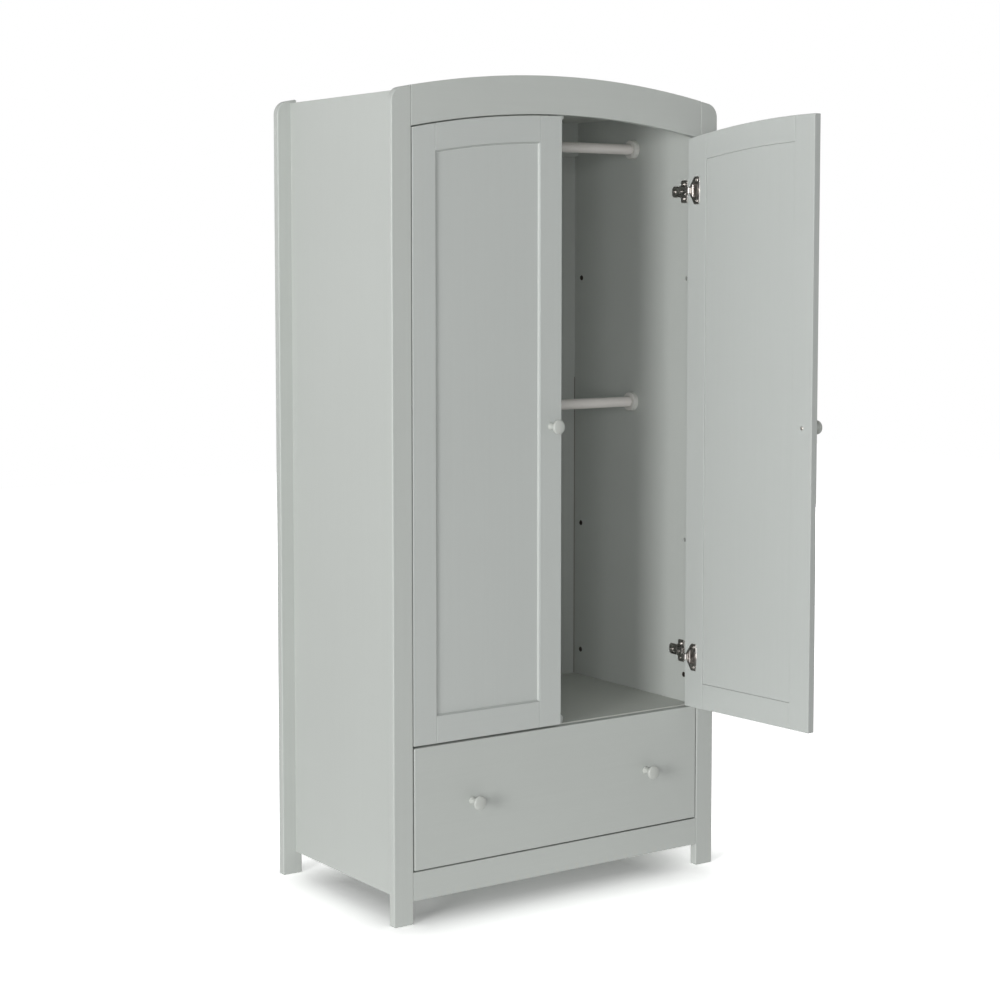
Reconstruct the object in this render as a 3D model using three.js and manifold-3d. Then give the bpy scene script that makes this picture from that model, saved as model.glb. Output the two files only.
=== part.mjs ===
// A painted wardrobe with an arched top: four posts, two panelled doors with concealed hinges over
// one wide drawer, and two hanging rods inside. The left door is shut and the right one stands open.
// Millimetres. x runs to the right from the middle line, y to the back from the front face, z up.

import * as THREE from "three";
import { mergeVertices } from "three/addons/utils/BufferGeometryUtils.js";
import Module from "manifold-3d";

const wasm = await Module();
wasm.setup();

// Overall size
const width = 900;
const depth = 510;
const height = 1850;
const archRise = 37;

// Posts, one at each corner, standing on the floor
const postWidth = 50;
const postThickness = 20;
const postCornerRadius = 32;
const postEdge = 2.5;

// Carcass boards
const baseClearance = 52;
const sideThickness = 16;
const sideTopDrop = 46;
const topThickness = 16;
const floorThickness = 18;
const backThickness = 4;
const backRebate = 8;
const railThickness = 20;
const archRailHeight = 84.5;
const bottomRailHeight = 63;
const backRailThickness = 14;
const backRailHeight = 83;
const boardEdge = 1;
const railEdge = 2;

// Holes for shelf pins in the side panels
const pinHoleDiameter = 10;
const pinHoleDepth = 10;
const pinHoleSetback = 28;
const pinHoleHeights = [455, 780, 1401];

// Hanging rods and their sockets
const rodDiameter = 25;
const rodSetback = 250;
const upperRodDrop = 76;
const rodSpacing = 612;
const socketDiameter = 45;
const socketLength = 13;
const socketBase = 3;
const socketEdge = 2.5;
const rodClearance = 0.4;

// Door stops
const stopWidth = 36;
const stopHeight = 20;
const stopDepth = 12;
const stopCornerRadius = 6;
const stopEdge = 2;
const upperStopDrop = 74;
const stopClearance = 0.5;

// Drawer
const drawerFrontHeight = 270;
const drawerFrontThickness = 18;
const drawerFrontEdge = 2;
const drawerGap = 3;
const drawerFloorGap = 2;
const drawerSideThickness = 15;
const drawerSideHeight = 210;
const drawerSideLift = 18;
const drawerBackGap = 4;
const drawerBottomThickness = 4;
const drawerBottomLift = 14;
const drawerGrooveDepth = 7;

// Drawer runners: a channel on each side panel, a track under each drawer side, a roller on both
const runnerSpace = 13;
const runnerSheet = 1.2;
const runnerFrontGap = 4;
const runnerBackGap = 1;
const runnerFlange = 10.2;
const trackFlange = 7.8;
const rollerDiameter = 18;
const rollerWidth = 6;
const rollerInset = 8;
const rollerRoll = 0.3;
const rollerPinDiameter = 5;
const trackPlay = 0.8;
const trackLip = 8;

// Doors
const doorThickness = 18;
const doorSideGap = 2;
const doorMeetingGap = 5;
const doorTopGap = 3;
const doorDrawerGap = 5;
const doorEdge = 1;
const stileWidth = 59;
const doorTopRailHeight = 58;
const doorBottomRailHeight = 60;
const jointGap = 0.3;
const tongueLength = 8;
const tongueThickness = 5.4;
const tongueSetback = 6.3;
const panelRimRecess = 0.8;
const panelRimWidth = 0.8;
const panelRecess = 6;
const panelBead = 3.5;
const panelBackRecess = 1.5;
const rightDoorAngle = THREE.MathUtils.degToRad(94);
const leftDoorAngle = 0;

// Upright axis that each door turns about, in front of the face and inside the hinge edge
const doorAxisInset = 9.6;
const doorAxisProud = 7.8;

// Knobs, each with the screw that holds it
const knobDiameter = 32;
const knobProjection = 35;
const knobHeadLength = 11;
const knobBaseDiameter = 18;
const knobNeckDiameter = 13;
const knobScrewDiameter = 4;
const knobScrewHeadDiameter = 9;
const knobScrewHeadLength = 2;
const screwClearance = 0.5;
const doorKnobInset = 29;
const doorKnobHeight = 1073;
const drawerKnobSpacing = 490;
const drawerKnobHeight = 253;

// Concealed hinges
const hingeEndDistance = 119;
const cupDiameter = 35;
const cupDepth = 12;
const cupInset = 22.5;
const cupWall = 1.6;
const cupPinDiameter = 3;
const cupPinInset = 10;
const cupPinDepth = 1.5;
const cupFlangeThickness = 1;
const cupFlangeWidth = 35;
const cupFlangeHeight = 64;
const cupFlangeRadius = 7;
const plateSetback = 25;
const plateThickness = 2.5;
const plateWingDepth = 23;
const plateWingHeight = 53;
const plateTailDepth = 30;
const plateTailHeight = 26;
const plateCornerRadius = 5;
const armWidth = 18;
const armSheet = 1.5;
const armRise = 13.5;
const armUnderside = 5;
const armWebSetback = 14;
const armPinInset = 10;
const armPinSetback = 5;
const armPinDiameter = 3.2;
const armNoseRadius = 3.6;
const linkSheet = 2;
const linkWidth = 12;
const linkEyeRadius = 3;
const linkClearance = 0.3;
const linkReach = 52.5;
const linkTurnShare = 0.6;

// The bent centre line of a shut hinge's link, from the arm's pin, as shares of its reach
const linkShares = [
  [0, 0],
  [0.19, 0.03],
  [0.4, 0.115],
  [0.61, 0.23],
  [0.8, 0.343],
  [0.924, 0.267],
  [1, 0.162],
  [0.924, 0.067],
  [0.83, 0.02],
];

// Fineness of the faceted curves, and how far each cutter runs past what it cuts
const overrun = 5;
const archSteps = 16;
const shortArchSteps = 3;
const cornerSteps = 6;
const edgeSteps = 2;
const roundSteps = 24;
const smallRoundSteps = 12;

// Places that follow from the sizes
const openingHalf = width / 2 - postWidth;
const archRadius = (openingHalf ** 2 + archRise ** 2) / (2 * archRise);
const archCentreZ = height - archRadius;
const sideTopZ = height - sideTopDrop;
const ceilingZ = sideTopZ - topThickness;
const drawerBottomZ = baseClearance + bottomRailHeight + drawerGap;
const drawerTopZ = drawerBottomZ + drawerFrontHeight;
const floorTopZ = drawerTopZ + drawerFloorGap;
const doorBottomZ = drawerTopZ + doorDrawerGap;
const doorTopDrop = archRailHeight + doorTopGap;
const backPanelY = depth - postThickness - backThickness;
const drawerBackY = backPanelY - backRailThickness - drawerBackGap;
const runnerLength = drawerBackY - drawerFrontThickness - runnerFrontGap - runnerBackGap;
const doorFreeX = doorMeetingGap / 2;
const doorHingeX = openingHalf - doorSideGap;
const doorAxisX = doorHingeX - doorAxisInset;
const upperRodZ = ceilingZ - upperRodDrop;
const lowerRodZ = upperRodZ - rodSpacing;

const finishes = {
  paint: new THREE.MeshStandardMaterial({ color: 0xb4b8b2, roughness: 0.5, metalness: 0 }),
  doorPaint: new THREE.MeshStandardMaterial({ color: 0xbabeb9, roughness: 0.45, metalness: 0 }),
  panelPaint: new THREE.MeshStandardMaterial({ color: 0xbcc0ba, roughness: 0.45, metalness: 0 }),
  knobPaint: new THREE.MeshStandardMaterial({ color: 0xc2c6c0, roughness: 0.3, metalness: 0 }),
  rod: new THREE.MeshStandardMaterial({ color: 0xb3aaa5, roughness: 0.5, metalness: 0 }),
  nickel: new THREE.MeshStandardMaterial({ color: 0xb9b7b0, roughness: 0.3, metalness: 1 }),
  steel: new THREE.MeshStandardMaterial({ color: 0xd8d8d4, roughness: 0.45, metalness: 0.6 }),
  nylon: new THREE.MeshStandardMaterial({ color: 0xe4e2da, roughness: 0.5, metalness: 0 }),
};

const wardrobe = new THREE.Group();

// Adds one named piece with its own copy of a finish.
function add(name, geometry, finish, group = wardrobe) {
  const mesh = new THREE.Mesh(geometry, finishes[finish].clone());
  mesh.name = name;
  group.add(mesh);
  return mesh;
}

// Joining and cutting of closed solids

function toSolid(geometry) {
  const bare = geometry.clone();
  bare.deleteAttribute("normal");
  bare.deleteAttribute("uv");
  const merged = mergeVertices(bare);
  return new wasm.Manifold(
    new wasm.Mesh({
      numProp: 3,
      vertProperties: merged.attributes.position.array,
      triVerts: new Uint32Array(merged.index.array),
    }),
  );
}

function toGeometry(solid) {
  const mesh = solid.getMesh();
  const geometry = new THREE.BufferGeometry();
  geometry.setAttribute("position", new THREE.BufferAttribute(mesh.vertProperties, 3));
  geometry.setIndex(new THREE.BufferAttribute(mesh.triVerts, 1));
  geometry.computeVertexNormals();
  return geometry;
}

function cut(geometry, ...cutters) {
  return toGeometry(cutters.reduce((solid, cutter) => solid.subtract(toSolid(cutter)), toSolid(geometry)));
}

function join(...geometries) {
  return toGeometry(geometries.map(toSolid).reduce((solid, other) => solid.add(other)));
}

// Outlines

function rectangle(fromA, fromB, toA, toB) {
  return [
    new THREE.Vector2(fromA, fromB),
    new THREE.Vector2(toA, fromB),
    new THREE.Vector2(toA, toB),
    new THREE.Vector2(fromA, toB),
  ];
}

// Points along a round corner, from one angle to another.
function roundCorner(centreA, centreB, radius, fromAngle, toAngle, steps) {
  return Array.from({ length: steps + 1 }, (_, step) => {
    const angle = THREE.MathUtils.lerp(fromAngle, toAngle, step / steps);
    return new THREE.Vector2(centreA + radius * Math.cos(angle), centreB + radius * Math.sin(angle));
  });
}

function roundedRectangle(fromA, fromB, toA, toB, radius) {
  const corners = [
    [toA - radius, toB - radius],
    [fromA + radius, toB - radius],
    [fromA + radius, fromB + radius],
    [toA - radius, fromB + radius],
  ];
  return corners.flatMap(([a, b], turn) => {
    const start = (turn * Math.PI) / 2;
    return roundCorner(a, b, radius, start, start + Math.PI / 2, cornerSteps / 2);
  });
}

// Points of the arch that lies a drop below the crown line, between two distances from the middle.
function archLine(side, from, to, drop, steps) {
  const radius = archRadius - drop;
  return Array.from({ length: steps + 1 }, (_, step) => {
    const x = THREE.MathUtils.lerp(from, to, step / steps);
    return new THREE.Vector2(side * x, archCentreZ + Math.sqrt(radius ** 2 - x ** 2));
  });
}

// A piece with upright edges, a level foot and an arched top.
function underArch(side, from, to, bottom, drop, steps) {
  return [
    new THREE.Vector2(side * from, bottom),
    new THREE.Vector2(side * to, bottom),
    ...archLine(side, to, from, drop, steps),
  ];
}

// A band between two arches.
function archBand(side, from, to, upperDrop, lowerDrop, steps) {
  return [...archLine(side, from, to, lowerDrop, steps), ...archLine(side, to, from, upperDrop, steps)];
}

// Boards: an outline in two of the axes, made thick along the third, with rounded long edges

const axisX = new THREE.Vector3(1, 0, 0);
const axisY = new THREE.Vector3(0, 1, 0);
const axisZ = new THREE.Vector3(0, 0, 1);
const facings = {
  front: new THREE.Matrix4().makeBasis(axisX, axisZ, axisY.clone().negate()),
  side: new THREE.Matrix4().makeBasis(axisY, axisZ, axisX),
  level: new THREE.Matrix4(),
};

function extruded(outline, length, edge) {
  return new THREE.ExtrudeGeometry(new THREE.Shape(outline), {
    depth: length - 2 * edge,
    bevelEnabled: edge > 0,
    bevelThickness: edge,
    bevelSize: edge,
    bevelOffset: -edge,
    bevelSegments: edgeSteps,
  }).translate(0, 0, edge);
}

// Faces the front: outline in x and z, thick along y.
function frontBoard(outline, frontY, thickness, edge) {
  return extruded(outline, thickness, edge)
    .applyMatrix4(facings.front)
    .translate(0, frontY + thickness, 0);
}

// Faces a side: outline in y and z, thick along x from a distance off the middle outwards.
function sideBoard(side, outline, inner, thickness, edge) {
  const start = side > 0 ? inner : -inner - thickness;
  return extruded(outline, thickness, edge).applyMatrix4(facings.side).translate(start, 0, 0);
}

// Lies level: outline in x and y, thick along z.
function levelBoard(outline, bottomZ, thickness, edge) {
  return extruded(outline, thickness, edge).applyMatrix4(facings.level).translate(0, 0, bottomZ);
}

function block(fromX, fromY, fromZ, toX, toY, toZ) {
  return new THREE.BoxGeometry(Math.abs(toX - fromX), toY - fromY, toZ - fromZ).translate(
    (fromX + toX) / 2,
    (fromY + toY) / 2,
    (fromZ + toZ) / 2,
  );
}

// Round solids along an axis, centred on a point

function cylinderAlong(axis, radius, length, centre, steps = roundSteps) {
  const turn = new THREE.Quaternion().setFromUnitVectors(axisY, axis);
  return new THREE.CylinderGeometry(radius, radius, length, steps)
    .applyQuaternion(turn)
    .translate(...centre.toArray());
}

// A turned solid: its profile gives radius and distance along the axis from a point.
function turnedAlong(axis, profile, origin, steps = roundSteps) {
  const turn = new THREE.Quaternion().setFromUnitVectors(axisY, axis);
  return new THREE.LatheGeometry(profile, steps).applyQuaternion(turn).translate(...origin.toArray());
}

// Posts

// The outline of a post: its top follows the arch into a round outer corner.
function postOutline(side) {
  const outer = width / 2;
  const cornerX = outer - postCornerRadius;
  const cornerReach = archRadius - postCornerRadius;
  const cornerZ = archCentreZ + Math.sqrt(cornerReach ** 2 - cornerX ** 2);
  const cornerAngle = Math.atan2(cornerZ - archCentreZ, cornerX);
  const tangentX = archRadius * Math.cos(cornerAngle);
  const corner = roundCorner(cornerX, cornerZ, postCornerRadius, 0, cornerAngle, cornerSteps);
  return [
    new THREE.Vector2(side * openingHalf, 0),
    new THREE.Vector2(side * outer, 0),
    ...corner.slice(0, -1).map((point) => new THREE.Vector2(side * point.x, point.y)),
    ...archLine(side, tangentX, openingHalf, 0, shortArchSteps),
  ];
}

function addPosts() {
  for (const [sideName, side] of sides) {
    const outline = postOutline(side);
    add(`front_post_${sideName}`, frontBoard(outline, 0, postThickness, postEdge), "paint");
    add(`back_post_${sideName}`, frontBoard(outline, depth - postThickness, postThickness, postEdge), "paint");
  }
}

// Carcass boards

function addSidePanels() {
  const backY = depth - postThickness;
  for (const [sideName, side] of sides) {
    const outline = rectangle(postThickness, baseClearance, backY, sideTopZ);
    const panel = sideBoard(side, outline, openingHalf, sideThickness, 0);
    const rebate = block(
      side * (openingHalf - overrun),
      backPanelY,
      0,
      side * (openingHalf + backRebate),
      backY + overrun,
      height,
    );
    const holes = pinHoleHeights.flatMap((z) =>
      [postThickness + pinHoleSetback, backPanelY - pinHoleSetback].map((y) =>
        cylinderAlong(
          axisX,
          pinHoleDiameter / 2,
          2 * pinHoleDepth,
          new THREE.Vector3(side * openingHalf, y, z),
          smallRoundSteps,
        ),
      ),
    );
    add(`side_panel_${sideName}`, cut(panel, rebate, ...holes), "paint");
  }
}

function addCarcassBoards() {
  const backY = depth - postThickness;
  const top = rectangle(-openingHalf, postThickness, openingHalf, backPanelY);
  add("top_panel", levelBoard(top, ceilingZ, topThickness, 0), "paint");
  add("compartment_floor", levelBoard(top, floorTopZ - floorThickness, floorThickness, boardEdge), "paint");
  const backHalf = openingHalf + backRebate - jointGap;
  const back = rectangle(-backHalf, baseClearance, backHalf, sideTopZ);
  add("back_panel", frontBoard(back, backY - backThickness, backThickness, 0), "paint");
  const arch = archBand(1, -openingHalf, openingHalf, 0, archRailHeight, archSteps);
  add("arched_top_rail", frontBoard(arch, 0, railThickness, railEdge), "paint");
  const railTop = baseClearance + bottomRailHeight;
  const bottomRail = rectangle(-openingHalf, baseClearance, openingHalf, railTop);
  add("bottom_front_rail", frontBoard(bottomRail, 0, railThickness, railEdge), "paint");
  const backRailY = backPanelY - backRailThickness;
  const upper = rectangle(-openingHalf, ceilingZ - backRailHeight, openingHalf, ceilingZ);
  add("back_top_rail", frontBoard(upper, backRailY, backRailThickness, boardEdge), "paint");
  const lower = rectangle(-openingHalf, baseClearance, openingHalf, baseClearance + backRailHeight);
  add("back_bottom_rail", frontBoard(lower, backRailY, backRailThickness, boardEdge), "paint");
}

// Hanging rods

function socketGeometry(side, z) {
  const outer = socketDiameter / 2;
  const bore = rodDiameter / 2 + rodClearance;
  const shoulder = roundCorner(outer - socketEdge, socketLength - socketEdge, socketEdge, 0, Math.PI / 2, 3);
  const profile = [
    new THREE.Vector2(0, 0),
    new THREE.Vector2(outer, 0),
    ...shoulder,
    new THREE.Vector2(bore, socketLength),
    new THREE.Vector2(bore, socketBase),
    new THREE.Vector2(0, socketBase),
  ];
  const inward = axisX.clone().multiplyScalar(-side);
  return turnedAlong(inward, profile, new THREE.Vector3(side * openingHalf, rodSetback, z));
}

function addRods() {
  const rodLength = 2 * (openingHalf - socketBase - rodClearance);
  for (const [level, z] of [["upper", upperRodZ], ["lower", lowerRodZ]]) {
    const centre = new THREE.Vector3(0, rodSetback, z);
    add(`hanging_rod_${level}`, cylinderAlong(axisX, rodDiameter / 2, rodLength, centre), "rod");
    for (const [sideName, side] of sides) {
      add(`rod_socket_${level}_${sideName}`, socketGeometry(side, z), "knobPaint");
    }
  }
}

// Door stops

function addStops() {
  const half = stopWidth / 2;
  const lower = roundedRectangle(-half, floorTopZ, half, floorTopZ + stopHeight, stopCornerRadius);
  const lowerY = doorThickness + stopClearance;
  add("door_stop_lower", frontBoard(lower, lowerY, stopDepth, stopEdge), "paint");
  const upperTop = height - upperStopDrop;
  const upper = roundedRectangle(-half, upperTop - stopHeight, half, upperTop, stopCornerRadius);
  add("door_stop_upper", frontBoard(upper, railThickness, stopDepth, stopEdge), "paint");
}

// Knobs

// Radius and distance in front of the face; the screw runs back through the board.
function knobProfile(boardThickness) {
  const head = knobDiameter / 2;
  const crownRadius = knobHeadLength / 2;
  const middle = knobProjection - crownRadius;
  const neck = knobNeckDiameter / 2;
  const base = knobBaseDiameter / 2;
  const screw = knobScrewDiameter / 2;
  const screwEnd = -boardThickness - knobScrewHeadLength;
  const crown = roundCorner(head - crownRadius, middle, crownRadius, -Math.PI / 2, Math.PI / 2, cornerSteps);
  return [
    new THREE.Vector2(0, screwEnd),
    new THREE.Vector2(knobScrewHeadDiameter / 2, screwEnd),
    new THREE.Vector2(knobScrewHeadDiameter / 2, screwEnd + knobScrewHeadLength - jointGap),
    new THREE.Vector2(screw, screwEnd + knobScrewHeadLength - jointGap),
    new THREE.Vector2(screw, jointGap),
    new THREE.Vector2(base, jointGap),
    new THREE.Vector2((base + neck) / 2, (middle - crownRadius) / 4),
    new THREE.Vector2(neck, (middle - crownRadius) / 2),
    ...crown,
    new THREE.Vector2(0, knobProjection),
  ];
}

function knobGeometry(x, z, boardThickness) {
  const forward = axisY.clone().negate();
  return turnedAlong(forward, knobProfile(boardThickness), new THREE.Vector3(x, 0, z));
}

// The hole that a knob's screw passes through.
function knobHole(x, z, boardThickness) {
  const radius = knobScrewDiameter / 2 + screwClearance;
  const centre = new THREE.Vector3(x, boardThickness / 2, z);
  return cylinderAlong(axisY, radius, boardThickness + 2 * overrun, centre, smallRoundSteps);
}

// Drawer

function addDrawer() {
  const bottomZ = drawerBottomZ + drawerSideLift;
  const topZ = bottomZ + drawerSideHeight;
  const outer = openingHalf - runnerSpace;
  const inner = outer - drawerSideThickness;
  const frontHalf = openingHalf - drawerGap;
  const backY = drawerBackY;
  const knobX = drawerKnobSpacing / 2;
  const panelZ = bottomZ + drawerBottomLift;
  const panelHalf = inner + drawerGrooveDepth - jointGap;
  const panelFrontY = drawerFrontThickness - drawerGrooveDepth + jointGap;
  const panelBackY = backY - drawerSideThickness + drawerGrooveDepth - jointGap;
  const groove = block(
    -inner - drawerGrooveDepth,
    drawerFrontThickness - drawerGrooveDepth,
    panelZ - jointGap,
    inner + drawerGrooveDepth,
    backY - drawerSideThickness + drawerGrooveDepth,
    panelZ + drawerBottomThickness + jointGap,
  );

  const front = frontBoard(
    rectangle(-frontHalf, drawerBottomZ, frontHalf, drawerTopZ),
    0,
    drawerFrontThickness,
    drawerFrontEdge,
  );
  const knobHoles = sides.map(([, side]) => knobHole(side * knobX, drawerKnobHeight, drawerFrontThickness));
  add("drawer_front", cut(front, groove, ...knobHoles), "paint");

  for (const [sideName, side] of sides) {
    const outline = rectangle(drawerFrontThickness, bottomZ, backY, topZ);
    const board = sideBoard(side, outline, inner, drawerSideThickness, boardEdge);
    add(`drawer_side_${sideName}`, cut(board, groove), "paint");
    add(`drawer_knob_${sideName}`, knobGeometry(side * knobX, drawerKnobHeight, drawerFrontThickness), "knobPaint");
  }

  const back = frontBoard(
    rectangle(-inner, bottomZ, inner, topZ),
    backY - drawerSideThickness,
    drawerSideThickness,
    boardEdge,
  );
  add("drawer_back", cut(back, groove), "paint");
  const panel = rectangle(-panelHalf, panelFrontY, panelHalf, panelBackY);
  add("drawer_bottom", levelBoard(panel, panelZ, drawerBottomThickness, 0), "paint");
}

// Drawer runners and rollers

function rollerGeometry(side, centreX, y, z) {
  const outer = rollerDiameter / 2;
  const bore = rollerPinDiameter / 2 + rollerRoll;
  const half = rollerWidth / 2;
  const profile = [
    new THREE.Vector2(bore, -half),
    new THREE.Vector2(outer - jointGap, -half),
    new THREE.Vector2(outer, -half + jointGap),
    new THREE.Vector2(outer, half - jointGap),
    new THREE.Vector2(outer - jointGap, half),
    new THREE.Vector2(bore, half),
    new THREE.Vector2(bore, -half),
  ];
  return turnedAlong(axisX, profile, new THREE.Vector3(side * centreX, y, z), roundSteps / 2);
}

function addRunners() {
  const drawerX = openingHalf - runnerSpace;
  const sheet = runnerSheet;
  const seatZ = drawerBottomZ + drawerSideLift;
  const channelTread = seatZ + rollerInset + sheet;
  const rollerZ = channelTread + rollerRoll + rollerDiameter / 2;
  const trackTread = rollerZ + rollerDiameter / 2 + rollerRoll;
  const channelTop = trackTread + sheet + trackPlay;
  const rollerX = drawerX + sheet + rollerRoll + rollerWidth / 2 + sheet;
  const trackX = drawerX + sheet;
  const frontRollerY = drawerFrontThickness + runnerFrontGap + rollerDiameter / 2;
  const backRollerY = drawerFrontThickness + runnerFrontGap + runnerLength - rollerDiameter / 2;
  const channelY = drawerFrontThickness + runnerFrontGap;
  const pinLength = openingHalf - trackX - rollerRoll;
  const pinX = (openingHalf + trackX + rollerRoll) / 2;

  for (const [sideName, side] of sides) {
    const flangeX = openingHalf - runnerFlange;
    const channelOutline = [
      [openingHalf, channelTread - sheet],
      [flangeX, channelTread - sheet],
      [flangeX, channelTread],
      [openingHalf - sheet, channelTread],
      [openingHalf - sheet, channelTop],
      [flangeX, channelTop],
      [flangeX, channelTop + sheet],
      [openingHalf, channelTop + sheet],
    ].map(([x, z]) => new THREE.Vector2(side * x, z));
    const channel = frontBoard(channelOutline, channelY, runnerLength, 0);
    const channelPin = cylinderAlong(
      axisX,
      rollerPinDiameter / 2,
      pinLength,
      new THREE.Vector3(side * pinX, frontRollerY, rollerZ),
      smallRoundSteps,
    );
    add(`cabinet_runner_${sideName}`, join(channel, channelPin), "steel");

    const trackOutline = [
      [drawerX - trackLip, seatZ - sheet],
      [trackX, seatZ - sheet],
      [trackX, trackTread],
      [drawerX + trackFlange, trackTread],
      [drawerX + trackFlange, trackTread + sheet],
      [drawerX, trackTread + sheet],
      [drawerX, seatZ],
      [drawerX - trackLip, seatZ],
    ].map(([x, z]) => new THREE.Vector2(side * x, z));
    const track = frontBoard(trackOutline, channelY, runnerLength, 0);
    const trackPinFrom = drawerX + sheet / 2;
    const trackPinTo = openingHalf - sheet - rollerRoll;
    const trackPin = cylinderAlong(
      axisX,
      rollerPinDiameter / 2,
      trackPinTo - trackPinFrom,
      new THREE.Vector3((side * (trackPinFrom + trackPinTo)) / 2, backRollerY, rollerZ),
      smallRoundSteps,
    );
    add(`drawer_runner_${sideName}`, join(track, trackPin), "steel");
    add(`front_roller_${sideName}`, rollerGeometry(side, rollerX, frontRollerY, rollerZ), "nylon");
    add(`back_roller_${sideName}`, rollerGeometry(side, rollerX, backRollerY, rollerZ), "nylon");
  }
}

// Doors

// A group that turns about a door's axis and holds pieces drawn in the shut door's place.
function doorLeaf(side, angle) {
  const turning = new THREE.Group();
  turning.position.set(side * doorAxisX, -doorAxisProud, 0);
  turning.rotation.z = side * angle;
  const shut = new THREE.Group();
  shut.position.copy(turning.position).negate();
  turning.add(shut);
  wardrobe.add(turning);
  return shut;
}

// The tongue round the panel and at the rails' ends, and the groove that takes it
function tongueBoard(outline) {
  return frontBoard(outline, tongueSetback, tongueThickness, 0);
}

function grooveBoard(outline) {
  return frontBoard(outline, tongueSetback - jointGap, tongueThickness + 2 * jointGap, 0);
}

function panelGeometry(side, from, to, bottom, drop) {
  const inset = (distance) =>
    underArch(side, from + distance, to - distance, bottom + distance, drop + distance, archSteps);
  const bodyThickness = doorThickness - panelRimRecess - panelBackRecess;
  const body = frontBoard(inset(jointGap), panelRimRecess, bodyThickness, 0);
  const tongue = tongueBoard(inset(-tongueLength));
  const field = new THREE.ExtrudeGeometry(new THREE.Shape(inset(panelBead)), {
    depth: overrun,
    bevelThickness: panelRecess - panelRimRecess,
    bevelSize: panelBead - panelRimWidth - jointGap,
    bevelSegments: 1,
  })
    .applyMatrix4(facings.front)
    .translate(0, panelRimRecess, 0);
  return cut(join(body, tongue), field);
}

function addDoor(sideName, side, angle) {
  const leaf = doorLeaf(side, angle);
  const freeInner = doorFreeX + stileWidth;
  const hingeInner = doorHingeX - stileWidth;
  const panelBottom = doorBottomZ + doorBottomRailHeight;
  const panelDrop = doorTopDrop + doorTopRailHeight;
  const grooveReach = tongueLength + jointGap;
  const knobX = side * (doorFreeX + doorKnobInset);
  const panelGroove = grooveBoard(
    underArch(
      side,
      freeInner - grooveReach,
      hingeInner + grooveReach,
      panelBottom - grooveReach,
      panelDrop - grooveReach,
      archSteps,
    ),
  );
  const stileGroove = grooveBoard(
    rectangle(side * (freeInner - grooveReach), 0, side * (hingeInner + grooveReach), height),
  );

  const stile = (from, to) =>
    frontBoard(
      underArch(side, from, to, doorBottomZ, doorTopDrop, shortArchSteps),
      0,
      doorThickness,
      doorEdge,
    );
  const cupBores = hingeHeights().map((z) => cupBore(side, z));
  const knobBore = knobHole(knobX, doorKnobHeight, doorThickness);
  add(`door_${sideName}_hinge_stile`, cut(stile(hingeInner, doorHingeX), stileGroove, ...cupBores), "doorPaint", leaf);
  add(`door_${sideName}_free_stile`, cut(stile(doorFreeX, freeInner), stileGroove, knobBore), "doorPaint", leaf);

  const railEnds = [freeInner + jointGap, hingeInner - jointGap];
  const tongueEnds = [freeInner - tongueLength, hingeInner + tongueLength];
  const topRail = ([from, to]) => archBand(side, from, to, doorTopDrop, panelDrop, archSteps);
  const bottomRail = ([from, to]) => rectangle(side * from, doorBottomZ, side * to, panelBottom);
  for (const [railName, outline] of [["top", topRail], ["bottom", bottomRail]]) {
    const body = frontBoard(outline(railEnds), 0, doorThickness, doorEdge);
    const rail = cut(join(body, tongueBoard(outline(tongueEnds))), panelGroove);
    add(`door_${sideName}_${railName}_rail`, rail, "doorPaint", leaf);
  }

  add(`door_${sideName}_panel`, panelGeometry(side, freeInner, hingeInner, panelBottom, panelDrop), "panelPaint", leaf);
  add(`door_${sideName}_knob`, knobGeometry(knobX, doorKnobHeight, doorThickness), "knobPaint", leaf);
  for (const [level, z] of hingeLevels()) {
    add(`hinge_cup_${sideName}_${level}`, cupGeometry(side, z), "nickel", leaf);
  }
}

// Concealed hinges: a cup in the door, a plate with its arm on the side panel, and a bent link

function hingeHeights() {
  const doorTopZ = archCentreZ + Math.sqrt((archRadius - doorTopDrop) ** 2 - doorHingeX ** 2);
  return [doorBottomZ + hingeEndDistance, doorTopZ - hingeEndDistance];
}

function hingeLevels() {
  const [lower, upper] = hingeHeights();
  return [["lower", lower], ["upper", upper]];
}

function cupBore(side, z) {
  const centre = new THREE.Vector3(side * (doorHingeX - cupInset), doorThickness, z);
  return cylinderAlong(axisY, cupDiameter / 2 + jointGap, 2 * (cupDepth + jointGap), centre);
}

function cupGeometry(side, z) {
  const centreX = side * (doorHingeX - cupInset);
  const outer = cupDiameter / 2;
  const inner = outer - cupWall;
  const rimY = doorThickness + jointGap + cupFlangeThickness;
  const bottom = cupDepth + cupFlangeThickness;
  const bowl = turnedAlong(
    axisY.clone().negate(),
    [
      new THREE.Vector2(inner, 0),
      new THREE.Vector2(inner, bottom - cupWall),
      new THREE.Vector2(0, bottom - cupWall),
      new THREE.Vector2(0, bottom),
      new THREE.Vector2(outer, bottom),
      new THREE.Vector2(outer, 0),
      new THREE.Vector2(inner, 0),
    ].reverse(),
    new THREE.Vector3(centreX, rimY, z),
  );
  const flangeOutline = roundedRectangle(
    centreX - cupFlangeWidth / 2,
    z - cupFlangeHeight / 2,
    centreX + cupFlangeWidth / 2,
    z + cupFlangeHeight / 2,
    cupFlangeRadius,
  );
  const flange = frontBoard(flangeOutline, doorThickness + jointGap, cupFlangeThickness, 0);
  const mouth = cylinderAlong(axisY, (inner + outer) / 2, 2 * overrun, new THREE.Vector3(centreX, rimY, z));
  const pinX = side * (doorHingeX - cupInset + outer - cupPinInset);
  const pin = cylinderAlong(
    axisZ,
    cupPinDiameter / 2,
    2 * Math.sqrt(((inner + outer) / 2) ** 2 - (outer - cupPinInset) ** 2),
    new THREE.Vector3(pinX, doorThickness - cupPinDepth, z),
    smallRoundSteps,
  );
  return join(cut(flange, mouth), bowl, pin);
}

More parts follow.
